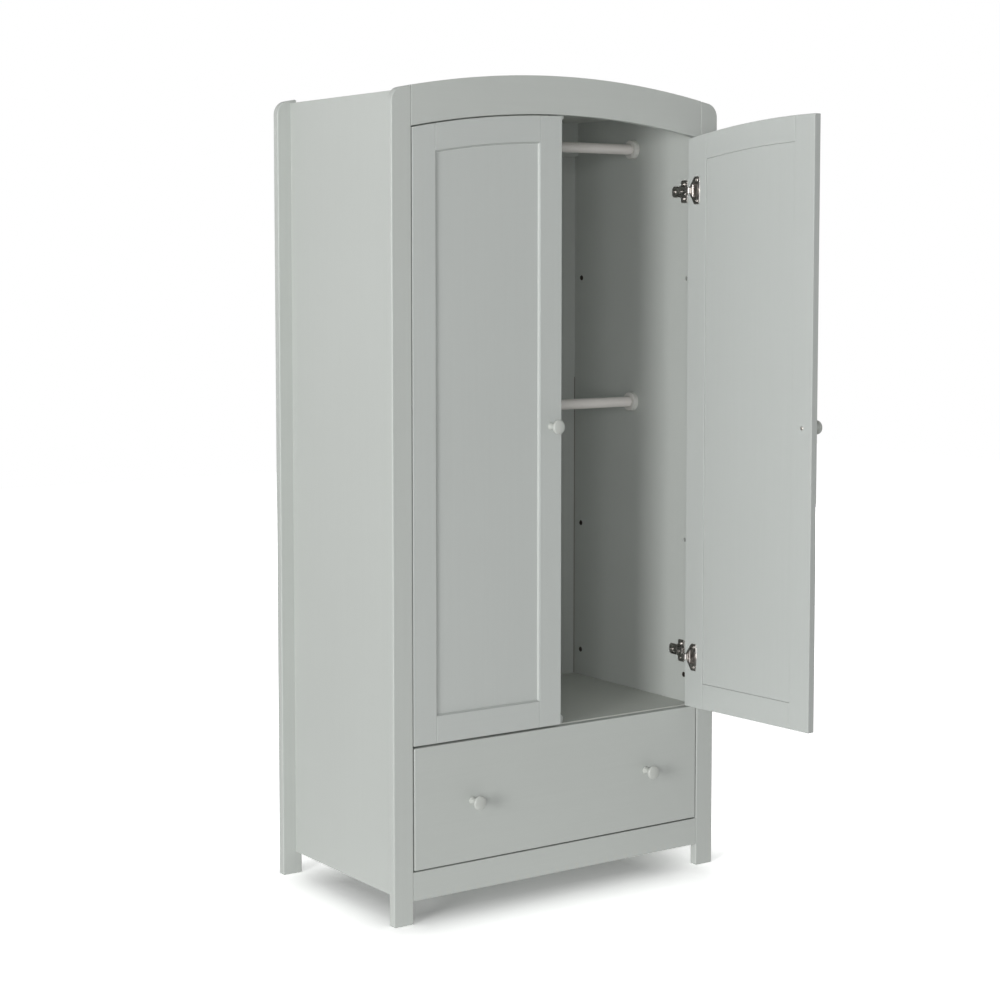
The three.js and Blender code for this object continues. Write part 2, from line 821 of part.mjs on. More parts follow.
// The arm's pin, which the link turns on.
function armPinPlace(side, z) {
  return new THREE.Vector3(side * (openingHalf - armPinInset), postThickness + armPinSetback, z);
}

function plateGeometry(side, z) {
  const wingY = postThickness + plateSetback;
  const tailY = wingY + plateWingDepth;
  const endY = tailY + plateTailDepth;
  const pin = armPinPlace(side, z);
  const halfWing = plateWingHeight / 2;
  const halfTail = plateTailHeight / 2;
  const wings = sideBoard(
    side,
    roundedRectangle(wingY, z - halfWing, tailY, z + halfWing, plateCornerRadius),
    openingHalf - plateThickness,
    plateThickness,
    0,
  );
  const tail = sideBoard(
    side,
    roundedRectangle(wingY, z - halfTail, endY, z + halfTail, plateCornerRadius),
    openingHalf - plateThickness,
    plateThickness,
    0,
  );
  const webY = postThickness + armWebSetback;
  const cheek = [
    new THREE.Vector2(openingHalf - armUnderside, endY),
    new THREE.Vector2(openingHalf - armRise, endY),
    new THREE.Vector2(openingHalf - armRise, webY),
    ...roundCorner(
      openingHalf - armPinInset,
      pin.y,
      armNoseRadius,
      Math.PI,
      2 * Math.PI,
      cornerSteps,
    ),
  ].map((point) => new THREE.Vector2(side * point.x, point.y));
  const armHalf = armWidth / 2;
  const arm = levelBoard(cheek, z - armHalf, armWidth, 0);
  const slot = block(
    side * (openingHalf - armUnderside + overrun),
    0,
    z - armHalf + armSheet,
    side * (openingHalf - armRise + armSheet),
    endY + overrun,
    z + armHalf - armSheet,
  );
  const mouth = block(
    side * openingHalf,
    0,
    z - armHalf + armSheet,
    side * (openingHalf - armRise - overrun),
    webY,
    z + armHalf - armSheet,
  );
  const spine = block(
    side * (openingHalf - plateThickness / 2),
    wingY + plateCornerRadius,
    z - armHalf + armSheet / 2,
    side * (openingHalf - armRise + armSheet / 2),
    endY - plateCornerRadius,
    z + armHalf - armSheet / 2,
  );
  const armPin = cylinderAlong(axisZ, armPinDiameter / 2, armWidth, pin, smallRoundSteps);
  return join(wings, tail, spine, cut(arm, slot, mouth), armPin);
}

// The link of a hinge whose door stands at an angle: its end near the cup's pin stays clear of it.
function linkGeometry(side, z, angle) {
  const points = linkShares.map(([u, v]) => new THREE.Vector2(-side * u, v).multiplyScalar(linkReach));
  const line = new THREE.SplineCurve(points);
  const count = (linkShares.length - 1) * 3;
  const edges = Array.from({ length: count + 1 }, (_, step) => {
    const at = line.getPoint(step / count);
    const across = line.getTangent(step / count).multiplyScalar(linkSheet / 2);
    return [
      new THREE.Vector2(at.x - across.y, at.y + across.x),
      new THREE.Vector2(at.x + across.y, at.y - across.x),
    ];
  });
  const outline = [...edges.map(([left]) => left), ...edges.map(([, right]) => right).reverse()];
  const strap = levelBoard(outline, -linkWidth / 2, linkWidth, 0);
  const origin = new THREE.Vector3();
  const eye = cylinderAlong(axisZ, linkEyeRadius, linkWidth, origin, smallRoundSteps);
  const boreRadius = armPinDiameter / 2 + linkClearance;
  const bore = cylinderAlong(axisZ, boreRadius, linkWidth + 2 * overrun, origin, smallRoundSteps);
  return cut(join(strap, eye), bore).rotateZ(side * angle * linkTurnShare);
}

function addHinges(sideName, side, angle) {
  for (const [level, z] of hingeLevels()) {
    add(`hinge_plate_${sideName}_${level}`, plateGeometry(side, z), "nickel");
    const link = add(`hinge_link_${sideName}_${level}`, linkGeometry(side, z, angle), "nickel");
    link.position.copy(armPinPlace(side, z));
  }
}

const sides = [["left", -1], ["right", 1]];
const doorAngles = { left: leftDoorAngle, right: rightDoorAngle };

addPosts();
addSidePanels();
addCarcassBoards();
addRods();
addStops();
addDrawer();
addRunners();
for (const [sideName, side] of sides) {
  addDoor(sideName, side, doorAngles[sideName]);
  addHinges(sideName, side, doorAngles[sideName]);
}

// The origin lies on the floor under the middle of the whole object, open door included.
wardrobe.updateMatrixWorld(true);
const bounds = new THREE.Box3().setFromObject(wardrobe, true);
const middle = bounds.getCenter(new THREE.Vector3());
wardrobe.position.set(-middle.x, -middle.y, -bounds.min.z);

export default wardrobe;
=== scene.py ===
"""A painted wardrobe with an arched top, its right door open, in a plain white studio.

Every length is in metres. Pieces are drawn from the wardrobe's middle, its front face and the floor,
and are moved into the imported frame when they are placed.
"""

import logging
import math
from dataclasses import dataclass
from enum import Enum
from typing import Any, Sequence

import bpy
import numpy as np
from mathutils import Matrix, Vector
from numpy.typing import ArrayLike


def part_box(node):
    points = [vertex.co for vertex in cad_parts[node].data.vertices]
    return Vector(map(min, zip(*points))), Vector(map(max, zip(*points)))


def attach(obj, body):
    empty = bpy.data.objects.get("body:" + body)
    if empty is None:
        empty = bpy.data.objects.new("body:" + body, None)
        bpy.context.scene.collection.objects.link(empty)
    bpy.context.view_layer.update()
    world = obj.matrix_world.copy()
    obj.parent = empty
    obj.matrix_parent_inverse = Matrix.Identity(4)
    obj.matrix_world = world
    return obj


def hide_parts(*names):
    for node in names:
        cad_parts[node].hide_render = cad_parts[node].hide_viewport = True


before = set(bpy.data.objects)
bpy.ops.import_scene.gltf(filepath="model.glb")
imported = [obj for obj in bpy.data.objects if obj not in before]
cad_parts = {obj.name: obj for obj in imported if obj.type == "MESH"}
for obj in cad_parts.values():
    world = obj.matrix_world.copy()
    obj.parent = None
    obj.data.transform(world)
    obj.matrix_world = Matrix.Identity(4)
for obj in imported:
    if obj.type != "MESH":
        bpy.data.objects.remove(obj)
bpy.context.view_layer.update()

SHARP_ANGLE = math.radians(34)
CORNER_TURN = math.radians(25)
EDGE_STEPS = 5
EDGE_SUPPORT = 0.4
CORNER_EASE = 1.5
CORNER_STEPS = 5
ROUND_STEPS = 64
PIN_STEPS = 32
SCREW_STEPS = 24
LIP_STEPS = 4
CUP_LIP_STEPS = 6
SHOULDER_STEPS = 8
NOSE_STEPS = 14
BRIM_STEPS = 18
WAIST_STEPS = 20
FOOT_RINGS = 10
STEM_RINGS = 12
BEAD_STEPS = 10
ARCH_STEPS = 72
STILE_ARCH_STEPS = 10
POST_ARCH_STEPS = 3
POST_CORNER_STEPS = 20
DOOR_OPEN = math.radians(94)

Array = np.ndarray
Colour = tuple[float, float, float]
Place = Sequence[float]
Socket = bpy.types.NodeSocket
Material = bpy.types.Material
log = logging.getLogger("wardrobe")


class Side(Enum):
    """The left or the right of the wardrobe, as the sign of x."""

    LEFT = -1
    RIGHT = 1

    @property
    def word(self) -> str:
        """The side's name in lower case."""
        return self.name.lower()


class Facing(Enum):
    """How a board lies: the two axes of its outline, then the axis of its thickness."""

    FRONT = (0, 2, 1)
    SIDE = (1, 2, 0)
    LEVEL = (0, 1, 2)

    def stacked(self, rings: Array, depths: Array) -> Array:
        """Rings of an outline's points, each at its own depth, as points in space."""
        drawn = np.dstack([rings, np.broadcast_to(depths[:, None], rings.shape[:2])])
        return drawn[..., np.argsort(self.value)]


class Way(Enum):
    """A direction along one of the axes."""

    RIGHT = (1, 0, 0)
    LEFT = (-1, 0, 0)
    BACK = (0, 1, 0)
    FRONT = (0, -1, 0)
    UP = (0, 0, 1)

    @staticmethod
    def inward(side: Side) -> "Way":
        """The direction from a side towards the middle."""
        return Way.LEFT if side is Side.RIGHT else Way.RIGHT


class Grain(Enum):
    """The direction that the boards' faint grain runs in, as scales of x, y and z for its pattern."""

    UPRIGHT = (1.0, 1.0, 0.022)
    LEVEL = (0.022, 1.0, 1.0)
    DEEP = (1.0, 0.022, 1.0)


# Surfaces


@dataclass
class Surface:
    """A closed surface: its points, and its faces in groups with the same number of corners."""

    points: Array
    faces: list[Array]

    def volume(self) -> float:
        """Six times the signed volume: the sum of a . (b x c) over the triangles that fan out each face.

        Returns:
            A positive number where the faces point outwards.
        """
        total = 0.0
        for group in self.faces:
            corners = self.points[group]
            total += float((corners[:, :1] * np.cross(corners[:, 1:-1], corners[:, 2:])).sum())
        return total

    def outward(self) -> "Surface":
        """The same surface with its faces pointing outwards."""
        return self if self.volume() > 0 else Surface(self.points, [group[:, ::-1] for group in self.faces])

    def moved(self, offset: Place) -> "Surface":
        """The surface moved by an offset."""
        return Surface(self.points + np.asarray(offset), self.faces)

    def on(self, side: Side) -> "Surface":
        """A surface drawn for the right side, on a side: x becomes -x on the left."""
        return Surface(self.points * [side.value, 1, 1], self.faces).outward()

    def swung(self, angle: float, pivot: Place) -> "Surface":
        """Turns the surface about an upright line: (x, y) becomes (x cos a - y sin a, x sin a + y cos a).

        Args:
            angle: the turn in radians, anticlockwise from above.
            pivot: a point on the line.

        Returns:
            The turned surface.
        """
        cos, sin = math.cos(angle), math.sin(angle)
        turn = np.array([[cos, sin, 0], [-sin, cos, 0], [0, 0, 1]])
        return Surface((self.points - pivot) @ turn + pivot, self.faces)


def together(*surfaces: Surface) -> Surface:
    """Puts several surfaces into one, each still closed by itself.

    Args:
        surfaces: the surfaces to hold together.

    Returns:
        One surface with all the points, and the faces' numbers moved on to match.
    """
    starts = np.cumsum([0] + [len(one.points) for one in surfaces[:-1]])
    points = np.concatenate([one.points for one in surfaces])
    return Surface(points, [group + start for one, start in zip(surfaces, starts) for group in one.faces])


def shell(rings: Array, joined: bool = False) -> Surface:
    """Closes a grid of rings: point (i, j) joins points (i + 1, j) and (i, j + 1), with j going round.

    Args:
        rings: the points, an array of rings by points round by 3.
        joined: whether the last ring joins the first, as in a hoop; otherwise a flat face closes each end.

    Returns:
        The closed surface, facing outwards.
    """
    count, around = rings.shape[:2]
    row = np.arange(count if joined else count - 1)[:, None]
    at = np.arange(around)[None, :]
    above, beside = (row + 1) % count, (at + 1) % around
    corners = [row * around + at, row * around + beside, above * around + beside, above * around + at]
    faces = [np.stack(np.broadcast_arrays(*corners), axis=-1).reshape(-1, 4)]
    if not joined:
        faces += [at[:, ::-1].copy(), at + (count - 1) * around]
    return Surface(rings.reshape(-1, 3), faces).outward()


# Outlines


def unit(vectors: Array) -> Array:
    """Each vector divided by its length."""
    return vectors / np.linalg.norm(vectors, axis=-1, keepdims=True)


def columns(first: Array, second: Array) -> Array:
    """Points from their first and their second coordinates."""
    return np.stack([first, second], axis=-1)


def arc(centre: Place, radius: float, start: float, end: float, steps: int) -> Array:
    """Points of an arc from one angle to another: the centre plus the radius times (cos a, sin a)."""
    angle = np.linspace(start, end, steps + 1)
    return np.asarray(centre) + radius * columns(np.cos(angle), np.sin(angle))


def rectangle(left: float, low: float, right: float, high: float) -> Array:
    """The four corners of a rectangle, anticlockwise."""
    return np.array([[left, low], [right, low], [right, high], [left, high]])


def mirrored(half: Array) -> Array:
    """Half a profile, then its mirror image: (r, s) becomes (r, -s), in the opposite order."""
    return np.concatenate([half, (half * [1, -1])[::-1]])


def anticlockwise(outline: Array) -> Array:
    """An outline, turned round where twice its area, the sum of x_i y_i+1 - x_i+1 y_i, is below zero."""
    (x, y), (next_x, next_y) = outline.T, np.roll(outline, -1, axis=0).T
    return outline if (x * next_y - next_x * y).sum() > 0 else outline[::-1]


def eased(outline: Array, radius: float) -> Array:
    """Rounds the corners of a closed outline.

    A corner that turns by t starts its arc radius x tan(t / 2) before it, on a centre that lies the radius
    to the side it turns to, and the arc's points turn about that centre from 0 to t.

    Args:
        outline: the closed outline.
        radius: the arcs' radius.

    Returns:
        The outline with every turn over CORNER_TURN rounded.
    """
    outline = anticlockwise(outline)
    before = unit(outline - np.roll(outline, 1, axis=0))
    after = unit(np.roll(outline, -1, axis=0) - outline)
    turn = np.arctan2(before[:, 0] * after[:, 1] - before[:, 1] * after[:, 0], (before * after).sum(axis=1))
    sideways = columns(-before[:, 1], before[:, 0]) * np.sign(turn)[:, None]
    start = outline - before * (radius * np.tan(np.abs(turn) / 2))[:, None]
    centre = start + sideways * radius
    angle = turn[:, None] * np.linspace(0, 1, CORNER_STEPS + 1)
    cos, sin = np.cos(angle), np.sin(angle)
    x, y = np.moveaxis(-radius * sideways[:, None, :], -1, 0)
    points = centre[:, None, :] + columns(x * cos - y * sin, x * sin + y * cos)
    sharp = np.abs(turn) > CORNER_TURN
    points[~sharp] = outline[~sharp][:, None, :]
    return points[sharp[:, None] | (np.arange(CORNER_STEPS + 1) == 0)]


def inward(outline: Array) -> Array:
    """How far each point of an anticlockwise outline moves when every edge moves inwards by 1.

    With the inward normals m and n of the edges at a point, it is (m + n) / (1 + m . n).

    Args:
        outline: the closed outline, anticlockwise.

    Returns:
        One vector for each point.
    """
    edge = unit(np.roll(outline, -1, axis=0) - outline)
    normal = columns(-edge[:, 1], edge[:, 0])
    before = np.roll(normal, 1, axis=0)
    return (normal + before) / (1 + (normal * before).sum(axis=1))[:, None]


@dataclass(frozen=True)
class Arch:
    """The crown line of the wardrobe, a circle through the arch's two ends and its crown."""

    crown: float = 1.850
    rise: float = 0.037
    half: float = 0.400

    @property
    def radius(self) -> float:
        """The circle's radius, (half^2 + rise^2) / (2 rise)."""
        return (self.half**2 + self.rise**2) / (2 * self.rise)

    @property
    def centre(self) -> float:
        """The height of the circle's centre."""
        return self.crown - self.radius

    def height(self, x: ArrayLike, drop: float) -> Array:
        """The height at x, a drop below the crown line: centre + sqrt((radius - drop)^2 - x^2)."""
        return self.centre + np.sqrt((self.radius - drop) ** 2 - np.square(x))

    def line(self, start: float, end: float, drop: float, steps: int) -> Array:
        """Points (x, z) from one x to another on the arch that lies a drop below the crown line."""
        x = np.linspace(start, end, steps + 1)
        return columns(x, self.height(x, drop))

    def under(self, start: float, end: float, bottom: float, drop: float, steps: int) -> Array:
        """The outline of a piece with two upright edges, a level foot, and on top an arch at a drop."""
        return np.concatenate([[[start, bottom], [end, bottom]], self.line(end, start, drop, steps)])

    def band(self, start: float, end: float, upper: float, lower: float, steps: int) -> Array:
        """The outline of a rail between two arches, at its top's and its underside's drop."""
        return np.concatenate([self.line(start, end, lower, steps), self.line(end, start, upper, steps)])


# Boards and turned work


def rounding(thickness: float, front: float, back: float | None = None) -> Array:
    """The profile of a board's edge, as inset and depth, from its front face to its back face.

    The front edge is the quarter circle (e (1 - sin a), e (1 - cos a)) for a from 0 to a right angle, and
    the back edge mirrors it. A line close beside each quarter circle keeps the flats flat when shaded.

    Args:
        thickness: the board's thickness.
        front: the radius of the front edge.
        back: the radius of the back edge, if it isn't the front's.

    Returns:
        The profile, points by 2.
    """
    back = front if back is None else back
    angle = np.linspace(0, math.pi / 2, EDGE_STEPS + 1)
    fall, rise = 1 - np.sin(angle), 1 - np.cos(angle)
    wide = 1 + EDGE_SUPPORT
    return np.concatenate(
        [
            [[front * wide, 0]],
            front * columns(fall, rise),
            [[0, front * wide], [0, thickness - back * wide]],
            back * columns(rise, -fall) + [0, thickness],
            [[back * wide, thickness]],
        ]
    )


def carried(outline: Array, facing: Facing, start: float, profile: Array) -> Surface:
    """Carries a profile round an outline: each ring is outline + inset x inward, at start + depth."""
    ring = anticlockwise(outline)
    return shell(facing.stacked(ring + profile[:, 0, None, None] * inward(ring), start + profile[:, 1]))


def slab(outline: Array, start: float, thickness: float, edge: float) -> Surface:
    """A board that faces the front, with long edges rounded by a radius, and eased corners."""
    return carried(eased(outline, CORNER_EASE * edge), Facing.FRONT, start, rounding(thickness, edge))


def turned(
    profile: ArrayLike, way: Way, place: Place, steps: int = PIN_STEPS, joined: bool = False
) -> Surface:
    """Turns a profile about an axis: place + s d + r (u cos a + v sin a), with u and v across the way d.

    Args:
        profile: radius r and distance s along the axis, points by 2, or points by steps by 2 where they
            change round the axis.
        way: the axis's direction.
        place: where the axis starts.
        steps: the steps of the full turn.
        joined: whether the profile is a closed loop.

    Returns:
        The closed surface.
    """
    profile = np.asarray(profile, float)
    profile = profile[:, None] if profile.ndim == 2 else profile
    along = np.array(way.value, float)
    across, beside = np.roll(np.abs(along), 1), np.roll(np.abs(along), 2)
    angle = np.arange(steps) * 2 * math.pi / steps
    spokes = across * np.cos(angle)[:, None] + beside * np.sin(angle)[:, None]
    return shell(np.asarray(place) + profile[..., 1:] * along + profile[..., :1] * spokes, joined)


@dataclass(frozen=True)
class Screw:
    """A low round screw head with a cross recess.

    The brim is a share of its height, the arm a share of its radius, and each ring of the recess a share of
    the cross's width and of the height.
    """

    radius: float
    height: float
    brim: float = 0.25
    lean: float = math.radians(50)
    dome_rings: int = 5
    arm: float = 0.55
    taper: float = math.radians(15)
    recess: tuple[tuple[float, float], ...] = ((1.06, 0.96), (1.0, 0.9), (0.8, 0.2886))

    def head(self, way: Way, place: Place) -> Surface:
        """The head, half an ellipse over a low brim, turned about its axis.

        The recess is a cross whose edge lies at min(L / cos f, w / sin f) from the axis, for the angle f to
        the nearest arm, half length L and half width w.

        Args:
            way: the direction that it faces.
            place: the middle of its seat.

        Returns:
            The closed surface.
        """
        arm = self.arm * self.radius
        half = arm * math.tan(self.taper)
        angle = np.arange(SCREW_STEPS) * 2 * math.pi / SCREW_STEPS
        nearest = np.abs((angle + math.pi / 4) % (math.pi / 2) - math.pi / 4)
        cross = np.minimum(arm / np.cos(nearest), half / np.maximum(np.sin(nearest), 1e-6))
        lean = np.linspace(0, self.lean, self.dome_rings)
        dome = columns(np.cos(lean), self.brim + (1 - self.brim) * np.sin(lean))
        outside = np.concatenate([[[1, 0]], dome])[:, None] * [self.radius, self.height]
        inside = np.array(self.recess)[:, None] * columns(cross, np.full(SCREW_STEPS, self.height))
        around = np.broadcast_to(outside, (len(outside), *inside.shape[1:]))
        return turned(np.concatenate([around, inside]), way, place, SCREW_STEPS)


# Finishes


def linear(red: float, green: float, blue: float) -> Colour:
    """A colour's screen numbers from 0 to 255 as light: ((c / 255 + 0.055) / 1.055)^2.4."""
    return tuple(((number / 255 + 0.055) / 1.055) ** 2.4 for number in (red, green, blue))


def shaded(colour: Colour, factor: float) -> Colour:
    """A colour made lighter or darker by a factor."""
    return tuple(min(1.0, level * factor) for level in colour)


class Level:
    """A number that changes over a surface; arithmetic on it adds Math nodes."""

    def __init__(self, recipe: "Recipe", socket: Socket) -> None:
        """Wraps an output socket of a recipe."""
        self.recipe, self.socket = recipe, socket

    def _with(self, operation: str, first: Any, second: Any) -> "Level":
        """The result of a Math node on two values."""
        node = self.recipe.node("ShaderNodeMath", {"operation": operation}, {0: first, 1: second})
        return Level(self.recipe, node.outputs[0])

    def __add__(self, other: Any) -> "Level":
        """Sum."""
        return self._with("ADD", self, other)

    def __radd__(self, other: Any) -> "Level":
        """Sum, with the number first."""
        return self._with("ADD", other, self)

    def __sub__(self, other: Any) -> "Level":
        """Difference."""
        return self._with("SUBTRACT", self, other)

    def __mul__(self, other: Any) -> "Level":
        """Product."""
        return self._with("MULTIPLY", self, other)

    def above(self, other: Any) -> "Level":
        """The greater of two values."""
        return self._with("MAXIMUM", self, other)


class Recipe:
    """The nodes of one material, or of the world."""

    def __init__(self, owner: Material | bpy.types.World) -> None:
        """Starts with no nodes.

        Args:
            owner: the material or the world.
        """
        owner.use_nodes = True
        self.owner, self.tree = owner, owner.node_tree
        self.tree.nodes.clear()

    def node(
        self, kind: str, settings: dict[str, Any] | None = None, values: dict[str | int, Any] | None = None
    ) -> bpy.types.Node:
        """Adds a node.

        Args:
            kind: the node's type.
            settings: its settings, which are set first.
            values: the values or links of its sockets, by name or number.

        Returns:
            The node.
        """
        made = self.tree.nodes.new(kind)
        for name, setting in (settings or {}).items():
            setattr(made, name, setting)
        for key, value in (values or {}).items():
            source = value.socket if isinstance(value, Level) else value
            if isinstance(source, Socket):
                self.tree.links.new(source, made.inputs[key])
            else:
                made.inputs[key].default_value = source
        return made

    def place(self) -> Socket:
        """The place on the object."""
        return self.node("ShaderNodeTexCoord").outputs["Object"]

    def ray(self, kind: str) -> Level:
        """Whether the light's path is of a kind, as 1 or 0."""
        return Level(self, self.node("ShaderNodeLightPath").outputs[f"Is {kind} Ray"])

    def stretched(self, vector: Socket, scale: Place) -> Socket:
        """A place with each axis scaled."""
        return self.node("ShaderNodeMapping", None, {"Vector": vector, "Scale": scale}).outputs[0]

    def vector(self, operation: str, *values: Any) -> Socket:
        """A place, or a length, from other places by one vector operation."""
        made = self.node("ShaderNodeVectorMath", {"operation": operation}, dict(enumerate(values)))
        return made.outputs[1 if operation == "LENGTH" else 0]

    def apart(self, middle: Place, half: Place) -> Level:
        """How far the place lies outside a box.

        Args:
            middle: the box's middle.
            half: half the box's size along each axis.

        Returns:
            The length of max(|place - middle| - half, 0).
        """
        beyond = self.vector("ABSOLUTE", self.vector("SUBTRACT", self.place(), middle))
        outside = self.vector("MAXIMUM", self.vector("SUBTRACT", beyond, half), (0, 0, 0))
        return Level(self, self.vector("LENGTH", outside))

    def noise(self, vector: Socket, scale: float, detail: float, roughness: float = 0.5) -> Level:
        """Soft noise from 0 to 1: its lumps to the metre, its octaves, and the share of each finer one."""
        values = {"Vector": vector, "Scale": scale, "Detail": detail, "Roughness": roughness}
        return Level(self, self.node("ShaderNodeTexNoise", None, values).outputs[0])

    def mixed(self, share: Any, first: Any, second: Any) -> Socket:
        """A colour between two.

        Args:
            share: the second colour's share.
            first: the first colour, its socket, or the level of a grey.
            second: the second colour, likewise.

        Returns:
            The mixed colour.
        """
        ends = [(end,) * 3 if isinstance(end, float) else end for end in (first, second)]
        ends = [(*end, 1.0) if isinstance(end, tuple) else end for end in ends]
        values = {0: share, 6: ends[0], 7: ends[1]}
        return self.node("ShaderNodeMix", {"data_type": "RGBA", "clamp_factor": True}, values).outputs[2]

    def bump(self, height: Level, distance: float, strength: float) -> Socket:
        """A surface normal that follows a height from 0 to 1, over a distance in metres."""
        values = {"Height": height, "Distance": distance, "Strength": strength}
        return self.node("ShaderNodeBump", None, values).outputs[0]

    def finished(self, **values: Any) -> Material:
        """Ends the material in a principled surface.

        Args:
            values: the surface's sockets, with _ for the spaces in their names.

        Returns:
            The material.
        """
        named = {name.replace("_", " "): value for name, value in values.items()}
        surface = self.node("ShaderNodeBsdfPrincipled", None, named)
        self.node("ShaderNodeOutputMaterial", None, {"Surface": surface.outputs[0]})
        return self.owner


@dataclass(frozen=True)
class Finish:
    """What all finishes have: a name, the record's material slot, and the main colour."""

    name: str
    slot: str
    colour: Colour

    def tone(self, recipe: Recipe, share: Level, darker: float, lighter: float) -> Socket:
        """The main colour, from darker to lighter by a share."""
        return recipe.mixed(share, shaded(self.colour, darker), shaded(self.colour, lighter))

    def recipe(self) -> Recipe:
        """A recipe for a material of this name."""
        return Recipe(bpy.data.materials.new(self.name))

    def material(self) -> Material:
        """The finish's material, which each kind of finish makes in its own way."""
        raise NotImplementedError


@dataclass(frozen=True)
class Paint(Finish):
    """Sprayed satin paint on boards, with the boards' faint grain under it."""

    grain: Grain = Grain.UPRIGHT
    streaks: float = 0.014
    clouds: float = 0.014
    contrast: float = 1.5
    streak_scale: float = 150
    cloud_scale: float = 2.4
    peel_scale: float = 900
    roughness: float = 0.46
    streak_gloss: float = 0.10
    peel_gloss: float = 0.06
    relief: float = 0.00012
    streak_relief: float = 0.55
    peel_relief: float = 0.45

    def material(self) -> Material:
        """Streaks along the grain, soft clouds of tone, and a fine orange peel.

        Returns:
            The paint's material.
        """
        recipe = self.recipe()
        place = recipe.place()
        along = recipe.stretched(place, self.grain.value)
        streak = recipe.noise(along, self.streak_scale, detail=3, roughness=0.6)
        cloud = recipe.noise(place, self.cloud_scale, detail=2)
        peel = recipe.noise(place, self.peel_scale, detail=1)
        cloudiness = self.contrast * self.clouds / self.streaks
        share = 0.5 + (streak - 0.5) * self.contrast + (cloud - 0.5) * cloudiness
        return recipe.finished(
            Base_Color=self.tone(recipe, share, 1 - self.streaks, 1 + self.streaks),
            Roughness=self.roughness + (streak - 0.5) * self.streak_gloss + (peel - 0.5) * self.peel_gloss,
            Normal=recipe.bump(
                streak * self.streak_relief + peel * self.peel_relief, self.relief, strength=0.35
            ),
        )


@dataclass(frozen=True)
class Lacquer(Finish):
    """Smooth painted or moulded work, as knobs, sockets, rods and rollers have."""

    roughness: float
    coat: float = 0.0
    cloud_scale: float = 38
    fine_scale: float = 700
    darker: float = 0.975
    lighter: float = 1.02
    fine_gloss: float = 0.10
    relief: float = 0.00004

    def material(self) -> Material:
        """A soft cloud of tone and a very fine relief.

        Returns:
            The finish's material.
        """
        recipe = self.recipe()
        place = recipe.place()
        cloud = recipe.noise(place, self.cloud_scale, detail=2)
        fine = recipe.noise(place, self.fine_scale, detail=2)
        return recipe.finished(
            Base_Color=self.tone(recipe, cloud, self.darker, self.lighter),
            Roughness=self.roughness + (fine - 0.5) * self.fine_gloss,
            Coat_Weight=self.coat,
            Normal=recipe.bump(fine, self.relief, strength=0.3),
        )


@dataclass(frozen=True)
class Metal(Finish):
    """Plated steel: pressed sheet with fine drawing lines and dull patches."""

    roughness: float
    dullness: float = 0.18
    dull_from: float = 0.35
    lines: tuple[float, float, float] = (1.0, 0.05, 1.0)
    line_scale: float = 1400
    patch_scale: float = 120
    darker: float = 0.86
    lighter: float = 1.1
    line_gloss: float = 0.08
    relief: float = 0.00002

    def material(self) -> Material:
        """Lines along the sheet, and patches of dull plating.

        Returns:
            The metal's material.
        """
        recipe = self.recipe()
        place = recipe.place()
        line = recipe.noise(recipe.stretched(place, self.lines), self.line_scale, detail=2)
        patch = recipe.noise(place, self.patch_scale, detail=3)
        dull = (patch - self.dull_from).above(0.0) * self.dullness
        return recipe.finished(
            Base_Color=self.tone(recipe, patch, self.darker, self.lighter),
            Metallic=1.0,
            Roughness=self.roughness + dull + (line - 0.5) * self.line_gloss,
            Normal=recipe.bump(line, self.relief, strength=0.35),
        )


WALL_GREY = linear(183, 187, 183)
DOOR_GREY = linear(184, 188, 185)
# painted light: a lighter copy of the wall grey for the level boards, so the compartment floor looks lit
# from above
LIT_SHELF_GREY = linear(198, 201, 195)

CARCASS_PAINT = Paint("carcass_paint", "paint", WALL_GREY)
RAIL_PAINT = Paint("rail_paint", "paint", WALL_GREY, Grain.LEVEL)
LIT_SHELF_PAINT = Paint("shelf_paint_painted_light", "paint", LIT_SHELF_GREY, Grain.LEVEL)
DOOR_PAINT = Paint("door_paint", "paint", DOOR_GREY)
DOOR_RAIL_PAINT = Paint("door_rail_paint", "paint", DOOR_GREY, Grain.LEVEL)
BOX_PAINT = Paint("drawer_box_paint", "paint", WALL_GREY, Grain.DEEP)
SHEET_PAINT = Paint("back_sheet_paint", "sheet", WALL_GREY, roughness=0.6, streaks=0.015)
KNOB_LACQUER = Lacquer("knob_lacquer", "knob", linear(184, 187, 182), 0.34)
SOCKET_PLASTIC = Lacquer("socket_plastic", "socket", linear(208, 208, 203), 0.4)
ROD_ENAMEL = Lacquer("rod_enamel", "rod", linear(222, 218, 214), 0.34, coat=0.2)
# painted shade: a dark lining that darkens the inside of the shelf pin holes
PIN_HOLE_SHADE = Lacquer("pin_hole_painted_shade", "socket", linear(58, 52, 46), 0.5)
# painted shade: a dark strip along the gap in each back corner
CORNER_GAP_SHADE = Lacquer("corner_gap_painted_shade", "sheet", linear(104, 92, 82), 0.7)
NYLON = Lacquer("roller_nylon", "nylon", linear(226, 224, 216), 0.45)
NICKEL = Metal("hinge_nickel", "nickel", (0.545, 0.520, 0.498), 0.28)
SCREW_STEEL = Metal("screw_steel", "nickel", (0.54, 0.51, 0.48), 0.30)
RUNNER_ZINC = Metal("runner_zinc", "steel", (0.62, 0.63, 0.63), 0.38, dullness=0.3)


# Placing


def placed(name: str, data: bpy.types.ID) -> bpy.types.Object:
    """Puts a mesh, a light or a camera into the scene as a new object.

    Args:
        name: the object's name.
        data: what it holds.

    Returns:
        The object.
    """
    made = bpy.data.objects.new(name, data)
    bpy.context.scene.collection.objects.link(made)
    return made


